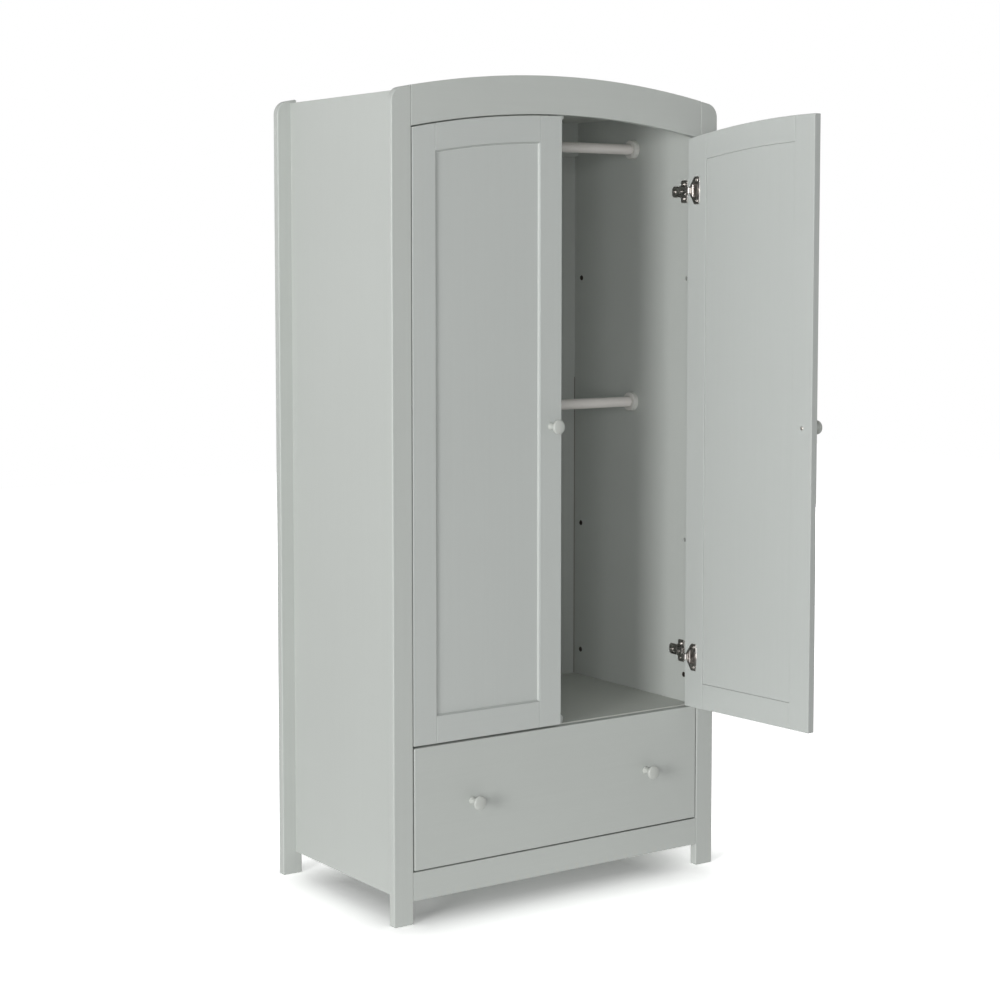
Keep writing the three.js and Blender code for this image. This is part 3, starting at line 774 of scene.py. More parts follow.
class Workshop:
    """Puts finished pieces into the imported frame."""

    def __init__(self) -> None:
        """Reads where the front face lies in the frame, and starts with no materials."""
        self.front = float(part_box("arched_top_rail")[0].y)
        self.materials: dict[Finish, Material] = {}

    def coat(self, mesh: bpy.types.Mesh, finish: Finish) -> None:
        """Gives a mesh a finish, whose material is made once.

        Args:
            mesh: the mesh.
            finish: the finish.
        """
        if finish not in self.materials:
            self.materials[finish] = finish.material()
        mesh.materials.clear()
        mesh.materials.append(self.materials[finish])

    def shaped(self, name: str, surface: Surface) -> bpy.types.Object:
        """A surface as an object, in its place in the frame.

        Args:
            name: the object's name.
            surface: its surface, from the front face.

        Returns:
            The object.
        """
        mesh = bpy.data.meshes.new(name)
        points = surface.points + [0, self.front, 0]
        mesh.from_pydata(points.tolist(), [], [face for group in surface.faces for face in group.tolist()])
        mesh.update()
        return placed(name, mesh)

    def add(
        self,
        name: str,
        surface: Surface,
        finish: Finish,
        body: str,
        *nodes: str,
        bores: Surface | None = None,
    ) -> None:
        """Places a piece.

        Args:
            name: the piece's name.
            surface: its surface, from the front face.
            finish: its finish.
            body: the body that it rides on.
            nodes: the CAD nodes that it stands for.
            bores: what is cut out of it.
        """
        piece = self.shaped(name, surface)
        if bores is not None:
            self.cut(piece, bores)
        piece.data.shade_smooth()
        piece.data.set_sharp_from_angle(angle=SHARP_ANGLE)
        self.coat(piece.data, finish)
        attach(piece, body)
        if nodes:
            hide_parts(*nodes)
        log.info("placed %s, %d faces, on %s", name, len(piece.data.polygons), body)

    def cut(self, piece: bpy.types.Object, bores: Surface) -> None:
        """Cuts bores out of a piece.

        Args:
            piece: the piece.
            bores: the surfaces of what is cut away.
        """
        cutter = self.shaped("cutter", bores)
        modifier = piece.modifiers.new("bores", "BOOLEAN")
        modifier.operation, modifier.solver, modifier.object = "DIFFERENCE", "EXACT", cutter
        bpy.context.view_layer.update()
        evaluated = piece.evaluated_get(bpy.context.evaluated_depsgraph_get())
        mesh = bpy.data.meshes.new_from_object(evaluated)
        piece.modifiers.clear()
        piece.data = mesh
        bpy.data.objects.remove(cutter)

    def dress(self, finish: Finish, *nodes: str) -> None:
        """Gives CAD nodes a finish.

        Args:
            finish: the finish.
            nodes: the nodes' names.
        """
        for name in nodes:
            self.coat(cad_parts[name].data, finish)
            log.info("dressed %s in %s", name, finish.name)


# The wardrobe


@dataclass(frozen=True)
class Plan:
    """Sizes that several sub-assemblies share."""

    arch: Arch = Arch()
    half_width: float = 0.450
    depth: float = 0.510
    opening_half: float = 0.400
    post_thickness: float = 0.020
    board_thickness: float = 0.018
    floor_top: float = 0.390
    back_rail_back: float = 0.486
    back_face: float = 0.490


@dataclass(frozen=True)
class Part:
    """What all sub-assemblies have: the shared sizes, and the workshop that places their pieces."""

    plan: Plan
    shop: Workshop


@dataclass(frozen=True)
class Carcass(Part):
    """The posts, rails, panels and door stops.

    Dark liners in the shelf pin holes paint the shade inside them, and a thin dark strip in each back corner
    paints the shade of the gap there.
    """

    post_corner: float = 0.032
    post_edge: float = 0.0025
    rail_edge: float = 0.0007
    base_clearance: float = 0.052
    arch_rail_height: float = 0.0845
    bottom_rail_height: float = 0.063
    stop_width: float = 0.036
    stop_height: float = 0.020
    stop_depth: float = 0.012
    stop_corner: float = 0.006
    stop_edge: float = 0.002
    stop_front: float = 0.0185
    upper_stop_top: float = 1.776
    liner_radius: float = 0.0048
    liner_depth: float = 0.0095
    liner_wall: float = 0.0006
    collar_radius: float = 0.0064
    collar_rise: float = 0.0004
    # the holes that get a dark liner, which paints the shade inside them
    shade_liner_places: tuple[tuple[float, float], ...] = (
        (0.048, 0.455),
        (0.458, 0.455),
        (0.458, 0.780),
        (0.458, 1.401),
    )
    strip_lift: float = 0.001
    strip_top: float = 1.15
    strip_width: float = 0.0012
    strip_depth: float = 0.0010
    strip_gap: float = 0.0001
    strip_edge: float = 0.0002
    back_screw: Screw = Screw(0.0032, 0.0012)
    screw_columns: int = 7
    screw_column_margin: float = 0.03
    screw_levels: tuple[float, float] = (0.094, 1.746)
    screw_rows: int = 9
    screw_row_margin: float = 0.006
    screw_row_ends: tuple[float, float] = (0.20, 1.66)

    def add(self, name: str, surface: Surface, finish: Finish, *nodes: str) -> None:
        """Places a piece on the carcass."""
        self.shop.add(name, surface, finish, "carcass", *nodes)

    def post_outline(self) -> Array:
        """The outline of a right post: its top follows the arch into a round outer corner.

        The corner's centre lies its radius inside the post's outer edge and inside the arch's circle.

        Returns:
            The closed outline.
        """
        arch, inner, outer = self.plan.arch, self.plan.opening_half, self.plan.half_width
        corner_x = outer - self.post_corner
        rise = math.sqrt((arch.radius - self.post_corner) ** 2 - corner_x**2)
        lean = math.atan2(rise, corner_x)
        corner = arc((corner_x, arch.centre + rise), self.post_corner, 0, lean, POST_CORNER_STEPS)
        top = arch.line(arch.radius * math.cos(lean), inner, 0, POST_ARCH_STEPS)
        return np.concatenate([[[inner, 0], [outer, 0]], corner[:-1], top])

    def build_frame(self) -> None:
        """Builds the four posts, the arched rail and the bottom rail."""
        outline, thickness = self.post_outline(), self.plan.post_thickness
        for side in Side:
            for word, start in (("front", 0.0), ("back", self.plan.depth - thickness)):
                post = slab(outline, start, thickness, self.post_edge).on(side)
                self.add(f"{side.word}_{word}_post", post, CARCASS_PAINT, f"{word}_post_{side.word}")
        half, low = self.plan.opening_half, self.base_clearance
        arch = self.plan.arch.band(-half, half, 0, self.arch_rail_height, ARCH_STEPS)
        level = rectangle(-half, low, half, low + self.bottom_rail_height)
        for word, outline, node in (("arched", arch, "arched_top"), ("bottom", level, "bottom_front")):
            rail = slab(outline, 0, thickness, self.rail_edge)
            self.add(f"{word}_rail", rail, RAIL_PAINT, f"{node}_rail")

    def build_stops(self) -> None:
        """Builds the two blocks that the doors close against."""
        half, height = self.stop_width / 2, self.stop_height
        lower, upper = self.plan.floor_top, self.upper_stop_top - height
        places = (("lower", lower, self.stop_front), ("upper", upper, self.plan.post_thickness))
        for level, bottom, start in places:
            outline = eased(rectangle(-half, bottom, half, bottom + height), self.stop_corner)
            block = carried(outline, Facing.FRONT, start, rounding(self.stop_depth, self.stop_edge))
            self.add(f"{level}_stop_block", block, CARCASS_PAINT, f"door_stop_{level}")

    def sleeves(self, side: Side) -> Surface:
        """The dark liners of a side panel's shelf pin holes: painted shade inside the holes.

        Args:
            side: the side panel.

        Returns:
            The liners' surface.
        """
        outer, depth, wall = self.liner_radius, self.liner_depth, self.liner_wall
        collar, rise = self.collar_radius, self.collar_rise
        inner, edge, middle = outer - wall, wall / 3, wall / 2
        outside = [[middle, -depth], [outer - edge, -depth], [outer, edge - depth], [outer, rise / 4]]
        brim = [[collar, rise / 4], [collar, rise / 2], [collar - rise / 2, rise]]
        inside = [[inner + edge, rise], [inner, rise - edge], [inner, wall - depth], [middle, wall - depth]]
        loop, face = outside + brim + inside, side.value * self.plan.opening_half
        places = [(face, setback, height) for setback, height in self.shade_liner_places]
        return together(*[turned(loop, Way.inward(side), place, joined=True) for place in places])

    def strip(self) -> Surface:
        """A thin dark strip in the right back corner: painted shade of the gap where the back sheet meets
        the side panel.

        Returns:
            The strip's surface.
        """
        right, back = self.plan.opening_half, self.plan.back_rail_back
        low = self.plan.floor_top + self.strip_lift
        start, front = right - self.strip_width, back - self.strip_depth
        outline = rectangle(start, front, right - self.strip_gap, back - self.strip_gap)
        return carried(outline, Facing.LEVEL, low, rounding(self.strip_top - low, self.strip_edge))

    def build_trim(self) -> None:
        """Builds the dark liners of the shelf pin holes and the dark corner strips, both painted shade, and
        the screws of the back sheet.
        """
        for side in Side:
            # painted shade: dark liners darken the pin holes
            self.add(f"{side.word}_pin_sleeves", self.sleeves(side), PIN_HOLE_SHADE)
            # painted shade: a dark strip in each back corner
            self.add(f"{side.word}_back_edge", self.strip().on(side), CORNER_GAP_SHADE)
        last = self.plan.opening_half - self.screw_column_margin
        outer = self.plan.opening_half - self.screw_row_margin
        across = np.linspace(-last, last, self.screw_columns)
        upright = np.linspace(*self.screw_row_ends, self.screw_rows)
        places = [(x, z) for z in self.screw_levels for x in across]
        places += [(side.value * outer, z) for side in Side for z in upright]
        heads = [self.back_screw.head(Way.BACK, (x, self.plan.back_face, z)) for x, z in places]
        self.add("back_sheet_screws", together(*heads), SCREW_STEEL)

    def build(self) -> None:
        """Builds the carcass and dresses its boards."""
        self.build_frame()
        self.build_stops()
        self.build_trim()
        self.shop.dress(CARCASS_PAINT, "side_panel_left", "side_panel_right")
        # painted light: the level boards wear the lighter copy of the grey
        self.shop.dress(LIT_SHELF_PAINT, "top_panel", "compartment_floor")
        self.shop.dress(RAIL_PAINT, "back_top_rail", "back_bottom_rail")
        self.shop.dress(SHEET_PAINT, "back_panel")


@dataclass(frozen=True)
class HangingRods(Part):
    """Two rods across the compartment, each in two sockets."""

    rod_radius: float = 0.0125
    rod_edge: float = 0.0006
    setback: float = 0.250
    upper: float = 1.712
    lower: float = 1.100
    socket_radius: float = 0.0225
    socket_length: float = 0.013
    socket_base: float = 0.003
    socket_edge: float = 0.0025
    foot_bevel: float = 0.0004
    bore_bevel: float = 0.0003
    lip: float = 0.0008
    clearance: float = 0.0004

    def rod(self, height: float) -> Surface:
        """A rod: a straight tube with its ends inside the sockets.

        Args:
            height: of the rod's axis.

        Returns:
            The rod's surface.
        """
        half, edge = self.plan.opening_half - self.socket_base - self.clearance, self.rod_edge
        end = np.array([[-2 * edge, -half], [-edge, -half], [0, edge - half]]) + [self.rod_radius, 0]
        return turned(mirrored(end), Way.RIGHT, (0, self.setback, height), ROUND_STEPS)

    def socket(self, side: Side, height: float) -> Surface:
        """A socket: a thick disc with a round shoulder, a bore for the rod and a lip round the bore.

        Points close beside each bend keep the flats flat when shaded.

        Args:
            side: the side panel that it stands on.
            height: the height of the rod.

        Returns:
            The socket's surface.
        """
        outer, length, edge, lip = self.socket_radius, self.socket_length, self.socket_edge, self.lip
        bore, base = self.rod_radius + self.clearance, self.socket_base
        foot, bevel = self.foot_bevel, self.bore_bevel
        profile = np.concatenate(
            [
                [[outer - 3 * foot, 0], [outer - foot, 0], [outer, foot], [outer, length - 1.6 * edge]],
                arc((outer - edge, length - edge), edge, 0, math.pi / 2, SHOULDER_STEPS),
                [[outer - 1.5 * edge, length], [bore + 1.6 * lip, length]],
                arc((bore + lip, length - lip), lip, math.pi / 2, math.pi, LIP_STEPS),
                [[bore, length - 2 * lip], [bore, base + bevel], [bore - bevel, base]],
            ]
        )
        place = (side.value * self.plan.opening_half, self.setback, height)
        return turned(profile, Way.inward(side), place, ROUND_STEPS)

    def build(self) -> None:
        """Builds both rods and their sockets."""
        for level, height in (("upper", self.upper), ("lower", self.lower)):
            self.shop.add(f"{level}_rod", self.rod(height), ROD_ENAMEL, "carcass", f"hanging_rod_{level}")
            for side in Side:
                name, node = f"{level}_{side.word}_socket", f"rod_socket_{level}_{side.word}"
                self.shop.add(name, self.socket(side, height), SOCKET_PLASTIC, "carcass", node)


@dataclass(frozen=True)
class Knob:
    """A mushroom knob, and the head of the screw that holds it from behind a board."""

    board: float
    head: float = 0.016
    projection: float = 0.035
    brim: float = 0.0042
    brim_turn: float = math.radians(80)
    crown: float = 0.0016
    base: float = 0.009
    base_flat: float = 0.0012
    neck: float = 0.0065
    foot: float = 0.0003
    tip: float = 0.0008
    swell: float = 2.4
    screw: Screw = Screw(0.0045, 0.0020)

    def surface(self, x: float, z: float) -> Surface:
        """The turned knob.

        From the foot at s = 0 the radius falls to the neck as base - neck times (1 - s / m)^2, up to the
        middle m of the stem, and grows again to the head's underside with the power swell. A half circle
        of the brim's radius turns the head's rim, and its face is the low dome c (1 - (r / f)^2) over the
        face's radius f.

        Args:
            x: the knob's place across.
            z: its height.

        Returns:
            The knob's surface.
        """
        centre = self.projection - self.crown - self.brim
        under, shoulder = centre - self.brim, self.head - self.brim
        middle = under / 2
        low = np.linspace(self.foot, middle, FOOT_RINGS)[:-1]
        high = np.linspace(middle, under, STEM_RINGS)[:-1]
        foot = self.neck + (self.base - self.neck) * (1 - low / middle) ** 2
        stem = self.neck + (shoulder - self.neck) * ((high - middle) / (under - middle)) ** self.swell
        brim = arc((shoulder, centre), self.brim, -math.pi / 2, self.brim_turn, BRIM_STEPS)
        rim, level = brim[-1]
        face = np.linspace(rim, self.tip, STEM_RINGS)[1:]
        dome = self.projection - (self.projection - level) * (face / rim) ** 2
        start = [[self.base - self.base_flat, self.foot]]
        profile = np.concatenate([start, columns(foot, low), columns(stem, high), brim, columns(face, dome)])
        return turned(profile, Way.FRONT, (x, 0, z), ROUND_STEPS)

    def pieces(self, x: float, z: float) -> dict[str, tuple[Surface, Finish]]:
        """The knob and its screw's head, with the ends of their names and their finishes."""
        screw = self.screw.head(Way.BACK, (x, self.board, z))
        return {"knob": (self.surface(x, z), KNOB_LACQUER), "knob_screw": (screw, SCREW_STEEL)}


@dataclass(frozen=True)
class Drawer(Part):
    """The wide drawer: its front, its knobs and its box."""

    gap: float = 0.003
    bottom: float = 0.118
    height: float = 0.270
    edge: float = 0.0018
    knob_x: float = 0.245
    knob_z: float = 0.253

    def build(self) -> None:
        """Builds the front and the knobs, and dresses the box."""
        half, thickness = self.plan.opening_half - self.gap, self.plan.board_thickness
        outline = rectangle(-half, self.bottom, half, self.bottom + self.height)
        front = slab(outline, 0, thickness, self.edge)
        self.shop.add("drawer_face", front, RAIL_PAINT, "drawer", "drawer_front")
        for side in Side:
            pieces = Knob(thickness).pieces(side.value * self.knob_x, self.knob_z)
            for end, (surface, finish) in pieces.items():
                nodes = [f"drawer_knob_{side.word}"] if end == "knob" else []
                self.shop.add(f"{side.word}_drawer_{end}", surface, finish, "drawer", *nodes)
        self.shop.dress(BOX_PAINT, "drawer_side_left", "drawer_side_right")
        self.shop.dress(RAIL_PAINT, "drawer_back")
        self.shop.dress(SHEET_PAINT, "drawer_bottom")


@dataclass(frozen=True)
class Runners(Part):
    """The drawer's runners and their rollers."""

    radius: float = 0.009
    half_width: float = 0.003
    bore: float = 0.0028
    edge: float = 0.0005
    hub: float = 0.0010
    tyre: float = 0.0016
    dish: float = 0.0006
    slope: float = 0.0004
    centre_x: float = 0.3927
    centre_z: float = 0.1545
    front_y: float = 0.031
    back_y: float = 0.458

    def roller(self, side: Side, y: float) -> Surface:
        """A roller: a narrow wheel with a bore and a shallow dish in each face.

        Args:
            side: the side that it is on.
            y: its distance behind the front face.

        Returns:
            The roller's surface.
        """
        half, outer, hub, tyre = self.half_width, self.radius, self.bore + self.hub, self.radius - self.tyre
        floor, edge, bevel = self.dish - half, self.edge, 0.3 * self.edge
        face = [[self.bore, -half], [hub, -half], [hub + self.slope, floor]]
        face += [[tyre - self.slope, floor], [tyre, -half]]
        face += [[outer - edge, -half], [outer - bevel, bevel - half], [outer, edge - half]]
        loop = np.concatenate([[[self.bore, 0]], mirrored(np.array(face))])
        return turned(loop, Way.RIGHT, (side.value * self.centre_x, y, self.centre_z), joined=True)

    def build(self) -> None:
        """Builds the rollers and dresses the channels and tracks."""
        for side in Side:
            for word, y in (("front", self.front_y), ("back", self.back_y)):
                name, node = f"{side.word}_{word}_roller", f"{word}_roller_{side.word}"
                self.shop.add(name, self.roller(side, y), NYLON, f"{node}_wheel", node)
            self.shop.dress(RUNNER_ZINC, f"cabinet_runner_{side.word}", f"drawer_runner_{side.word}")


@dataclass(frozen=True)
class Hinge(Part):
    """A concealed hinge, drawn for the right side and a shut door: a cup, a plate with its arm, a link."""

    side: Side
    level: str
    height: float
    door_edge: float
    cup_inset: float = 0.0225
    cup_radius: float = 0.0175
    cup_wall: float = 0.0016
    cup_depth: float = 0.012
    cup_bend: float = 0.002
    cup_hub: float = 0.0015
    lip_drop: float = 0.0004
    lip_rise: float = 0.0002
    seat: float = 0.0003
    flange: float = 0.001
    flange_edge: float = 0.0004
    flange_half_height: float = 0.032
    flange_waist: float = 0.0184
    flange_lap: float = 0.00096
    flange_rise: float = 0.0001
    tab_offset: float = 0.0075
    tab_half: float = 0.0080
    tab_corner: float = 0.003
    tab_screw_inset: float = 0.008
    cup_pin_inset: float = 0.010
    cup_pin_depth: float = 0.0015
    cup_pin_radius: float = 0.0015
    plate_front: float = 0.045
    wing_back: float = 0.068
    tail_back: float = 0.098
    wing_half: float = 0.0265
    tail_half: float = 0.013
    plate: float = 0.0025
    plate_corner: float = 0.0045
    sheet_edge: float = 0.0006
    arm_half: float = 0.009
    arm_sheet: float = 0.0015
    arm_rise: float = 0.0135
    arm_underside: float = 0.005
    arm_web_front: float = 0.040
    arm_crest_back: float = 0.059
    arm_slope_back: float = 0.072
    arm_tail_rise: float = 0.0055
    arm_bend: float = 0.0005
    cheek_inset: float = 0.0001
    block_edge: float = 0.0004
    margin: float = 0.001
    fine_edge: float = 0.0003
    pin_u: float = 0.010
    pin_y: float = 0.025
    pin_end: float = 0.0004
    pin_radius: float = 0.0016
    nose: float = 0.0036
    link_sheet: float = 0.002
    link_half: float = 0.006
    link_eye: float = 0.003
    link_reach: float = 0.0525
    link_turn: float = 0.6
    link_steps: int = 48
    link_line: tuple[tuple[float, float], ...] = (
        (0, 0),
        (0.19, 0.03),
        (0.4, 0.115),
        (0.61, 0.23),
        (0.8, 0.343),
        (0.924, 0.267),
        (1, 0.162),
        (0.924, 0.067),
        (0.83, 0.02),
    )
    tab_screw: Screw = Screw(0.0042, 0.0014)
    wing_screw: Screw = Screw(0.0042, 0.0030)
    fixing_screw: Screw = Screw(0.0040, 0.0016)
    side_screw: Screw = Screw(0.0032, 0.0010)
    wing_screw_half: float = 0.0170
    fixing_screw_inset: float = 0.012
    side_screw_shift: float = 0.004

    @property
    def cup_x(self) -> float:
        """The cup's middle, from the wardrobe's middle."""
        return self.door_edge - self.cup_inset

    @property
    def seat_y(self) -> float:
        """The depth of the flange's outer face, behind the shut door."""
        return self.plan.board_thickness + self.seat + self.flange

    def bore(self) -> Surface:
        """The hole in the door that takes the cup.

        Returns:
            The surface of what is cut away.
        """
        radius, bottom = self.cup_radius + self.seat, self.plan.board_thickness - self.cup_depth - self.seat
        profile = [[radius, 0], [radius, 2 * self.cup_depth]]
        return turned(profile, Way.BACK, (self.cup_x, bottom, self.height), ROUND_STEPS)

    def flange_outline(self) -> Array:
        """The flange's outline about the cup's middle, drawn tight round the cup's rim and two screw tabs.

        A line from a tab's corner c touches the rim, of radius w, at the corner's own angle less or plus
        acos(w / |c|).

        Returns:
            The closed outline.
        """
        waist, high, offset = self.flange_waist, self.flange_half_height, self.tab_offset
        corners = np.array([[self.tab_half - offset, high], [-self.tab_half - offset, high]])
        lean = np.arctan2(corners[:, 1], corners[:, 0])
        touch = np.arccos(waist / np.linalg.norm(corners, axis=1))
        start, end = lean[0] - touch[0], lean[1] + touch[1]
        near = arc((0, 0), waist, -start, start, WAIST_STEPS)
        far = arc((0, 0), waist, end, 2 * math.pi - end, SHOULDER_STEPS)
        return eased(np.concatenate([near, corners, far, corners[::-1] * [1, -1]]), self.tab_corner)

    def cup(self) -> Surface:
        """The bowl, its flange and the pin in it.

        Each point of the flange's hole lies in the direction of a point of its outline.

        Returns:
            The cup's surface.
        """
        outer, wall, bend, hub = self.cup_radius, self.cup_wall, self.cup_bend, self.cup_hub
        inner, bottom = outer - wall, self.cup_depth + self.flange
        hollow = arc((inner - bend, bottom - wall - bend), bend, math.pi / 2, 0, EDGE_STEPS)
        heel = arc((outer - bend, bottom - bend), bend, 0, math.pi / 2, EDGE_STEPS)
        lip = arc((inner + wall / 2, self.lip_drop), wall / 2, -math.pi, 0, CUP_LIP_STEPS)
        lip[:, 1] = np.maximum(lip[:, 1], -self.lip_rise)
        inside = [[hub, bottom - wall], *hollow, [inner, bend]]
        outside = [[outer, 1.5 * bend], *heel, [hub, bottom]]
        place = (self.cup_x, self.seat_y, self.height)
        bowl = turned([*inside, *lip, *outside], Way.FRONT, place, ROUND_STEPS)
        outline, edge = self.flange_outline(), self.flange_edge
        hole = (outer - self.flange_lap) * unit(outline)
        rings = np.stack([hole, hole, outline + edge * inward(outline), outline, outline, hole])
        rings += [self.cup_x, self.height]
        depths = np.array([-self.flange_rise, 0, 0, edge, self.flange, self.flange])
        flange = shell(Facing.FRONT.stacked(rings, self.seat_y - depths), joined=True)
        reach = outer - self.cup_pin_inset
        half = math.sqrt((inner + wall / 2) ** 2 - reach**2)
        place = (self.cup_x + reach, self.plan.board_thickness - self.cup_pin_depth, self.height - half)
        pin = turned([[self.cup_pin_radius, 0], [self.cup_pin_radius, 2 * half]], Way.UP, place)
        return together(bowl, flange, pin)

    def cup_screws(self) -> Surface:
        """The two screws that hold the flange.

        Returns:
            Both screws' heads.
        """
        x, lift = self.cup_x - self.tab_offset, self.flange_half_height - self.tab_screw_inset
        places = [(x, self.seat_y, self.height + shift) for shift in (-lift, lift)]
        return together(*[self.tab_screw.head(Way.BACK, place) for place in places])

    def plate_surface(self) -> Surface:
        """The plate on the side panel: upright wings and a tail, in one rounded outline.

        Returns:
            The plate's surface.
        """
        wing, tail = self.wing_half, self.tail_half
        front, middle, back = self.plate_front, self.wing_back, self.tail_back
        half = [[wing, front], [wing, middle], [tail, middle], [tail, back]]
        outline = eased(mirrored(np.array(half)[:, ::-1]) + [0, self.height], self.plate_corner)
        profile = rounding(self.plate, self.sheet_edge, self.fine_edge)
        return carried(outline, Facing.SIDE, self.plan.opening_half - self.plate, profile)

    def arm_surface(self) -> Surface:
        """The arm: a web that steps down to its tail, and two cheeks whose noses hold the link's pin.

        Returns:
            The arm's surface.
        """
        opening, z, half = self.plan.opening_half, self.height, self.arm_half
        sheet, margin = self.arm_sheet, self.margin
        crest, tail, back = opening - self.arm_rise, opening - self.arm_tail_rise, self.tail_back - margin
        front, bend, foot = self.arm_web_front, self.arm_crest_back, self.arm_slope_back
        line = np.array([[crest, front], [crest, bend], [tail, foot], [tail, back]])
        strip = eased(np.concatenate([line, (line + [sheet, 0])[::-1]]), self.arm_bend)
        web = carried(strip, Facing.LEVEL, z - half, rounding(2 * half, self.sheet_edge))
        top, underside, pin_x = crest + sheet / 2, opening - self.arm_underside, opening - self.pin_u
        nose = arc((pin_x, self.pin_y), self.nose, math.pi, 2 * math.pi, NOSE_STEPS)
        cheek = np.concatenate([[[underside, foot], [tail, foot], [top, bend], [top, front + margin]], nose])
        lower, upper = self.cheek_inset - half, half - sheet - self.cheek_inset
        profile = rounding(sheet, self.fine_edge)
        pieces = [web] + [carried(cheek, Facing.LEVEL, z + start, profile) for start in (lower, upper)]
        spans = ((self.plate_front + 4 * margin, bend, crest), (foot - 2 * margin, back - margin, tail))
        for start, end, level in spans:
            outline = eased(rectangle(start, z - half + sheet, end, z + half - sheet), margin)
            profile = rounding(opening - level - sheet - margin, self.block_edge)
            pieces.append(carried(outline, Facing.SIDE, level + sheet, profile))
        length, radius, edge = half + self.pin_end, self.pin_radius, self.fine_edge
        ends = mirrored(np.array([[radius - edge, -length], [radius, edge - length]]))
        return together(*pieces, turned(ends, Way.UP, (pin_x, self.pin_y, z)))

    def plate_screws(self) -> Surface:
        """The screws of the wings, and the arm's fixing and side screws.

        Returns:
            The screws' surface.
        """
        opening, z, middle = self.plan.opening_half, self.height, (self.plate_front + self.wing_back) / 2
        back, shift = self.tail_back - self.fixing_screw_inset, self.wing_screw_half
        places = [(self.wing_screw, opening - self.plate, middle, z + rise) for rise in (-shift, shift)]
        places += [(self.fixing_screw, opening - self.arm_tail_rise, back, z)]
        places += [(self.side_screw, opening - self.arm_rise, middle - self.side_screw_shift, z)]
        return together(*[screw.head(Way.LEFT, place) for screw, *place in places])

    def link_curve(self) -> tuple[Array, Array]:
        """The link's middle line: a Catmull-Rom curve through its points.

        Between p1 and p2, with the neighbours p0 and p3, half the sum of
        2 p1 + (p2 - p0) t + (2 p0 - 5 p1 + 4 p2 - p3) t^2 + (3 p1 - p0 - 3 p2 + p3) t^3.

        Returns:
            The points and the tangents.
        """
        knots = np.array(self.link_line) * [-self.link_reach, self.link_reach]
        spans = len(knots) - 1
        at = np.linspace(0, spans, self.link_steps + 1)
        index = np.minimum(at.astype(int), spans - 1)
        t = (at - index)[:, None]
        before, after = knots[np.maximum(index - 1, 0)], knots[np.minimum(index + 2, spans)]
        first, second = knots[index], knots[index + 1]
        square = 2 * before - 5 * first + 4 * second - after
        cube = 3 * first - before - 3 * second + after
        points = (2 * first + (second - before) * t + square * t**2 + cube * t**3) / 2
        return points, unit(second - before + 2 * square * t + 3 * cube * t**2)

    def link(self, angle: float) -> Surface:
        """The bent link, at a door angle: a strap as thick as its sheet on both sides of its middle line.

        Args:
            angle: how far the door stands open.

        Returns:
            The link's surface, with its pivot on the arm's pin.
        """
        points, tangents = self.link_curve()
        across = columns(-tangents[:, 1], tangents[:, 0]) * self.link_sheet / 2
        outline = np.concatenate([points + across, (points - across)[::-1]])
        half, radius, edge = self.link_half, self.link_eye, self.fine_edge
        strap = carried(outline, Facing.LEVEL, -half, rounding(2 * half, edge))
        eye = np.array([[self.pin_radius + edge, -half], [radius - edge, -half], [radius, edge - half]])
        pivot = turned(mirrored(eye), Way.UP, (0, 0, 0), joined=True)
        place = (self.plan.opening_half - self.pin_u, self.pin_y, self.height)
        return together(strap, pivot).swung(angle * self.link_turn, (0, 0, 0)).moved(place)

    def build(self, door: "Door") -> None:
        """Builds the plate with its arm, the link, and the cup on its door.

        Args:
            door: the door that the hinge holds.
        """
        side, tag, body = self.side, f"{self.side.word}_{self.level}", f"{self.side.word}_door"
        arm = together(self.plate_surface(), self.arm_surface()).on(side)
        self.shop.add(f"{tag}_hinge_arm", arm, NICKEL, "carcass", f"hinge_plate_{tag}")
        self.shop.add(f"{tag}_arm_screws", self.plate_screws().on(side), SCREW_STEEL, "carcass")
        link = self.link(door.angle).on(side)
        self.shop.add(f"{tag}_hinge_strap", link, NICKEL, f"{tag}_link", f"hinge_link_{tag}")
        self.shop.add(f"{tag}_cup", door.swung(self.cup()), NICKEL, body, f"hinge_cup_{tag}")
        self.shop.add(f"{tag}_cup_screws", door.swung(self.cup_screws()), SCREW_STEEL, body)


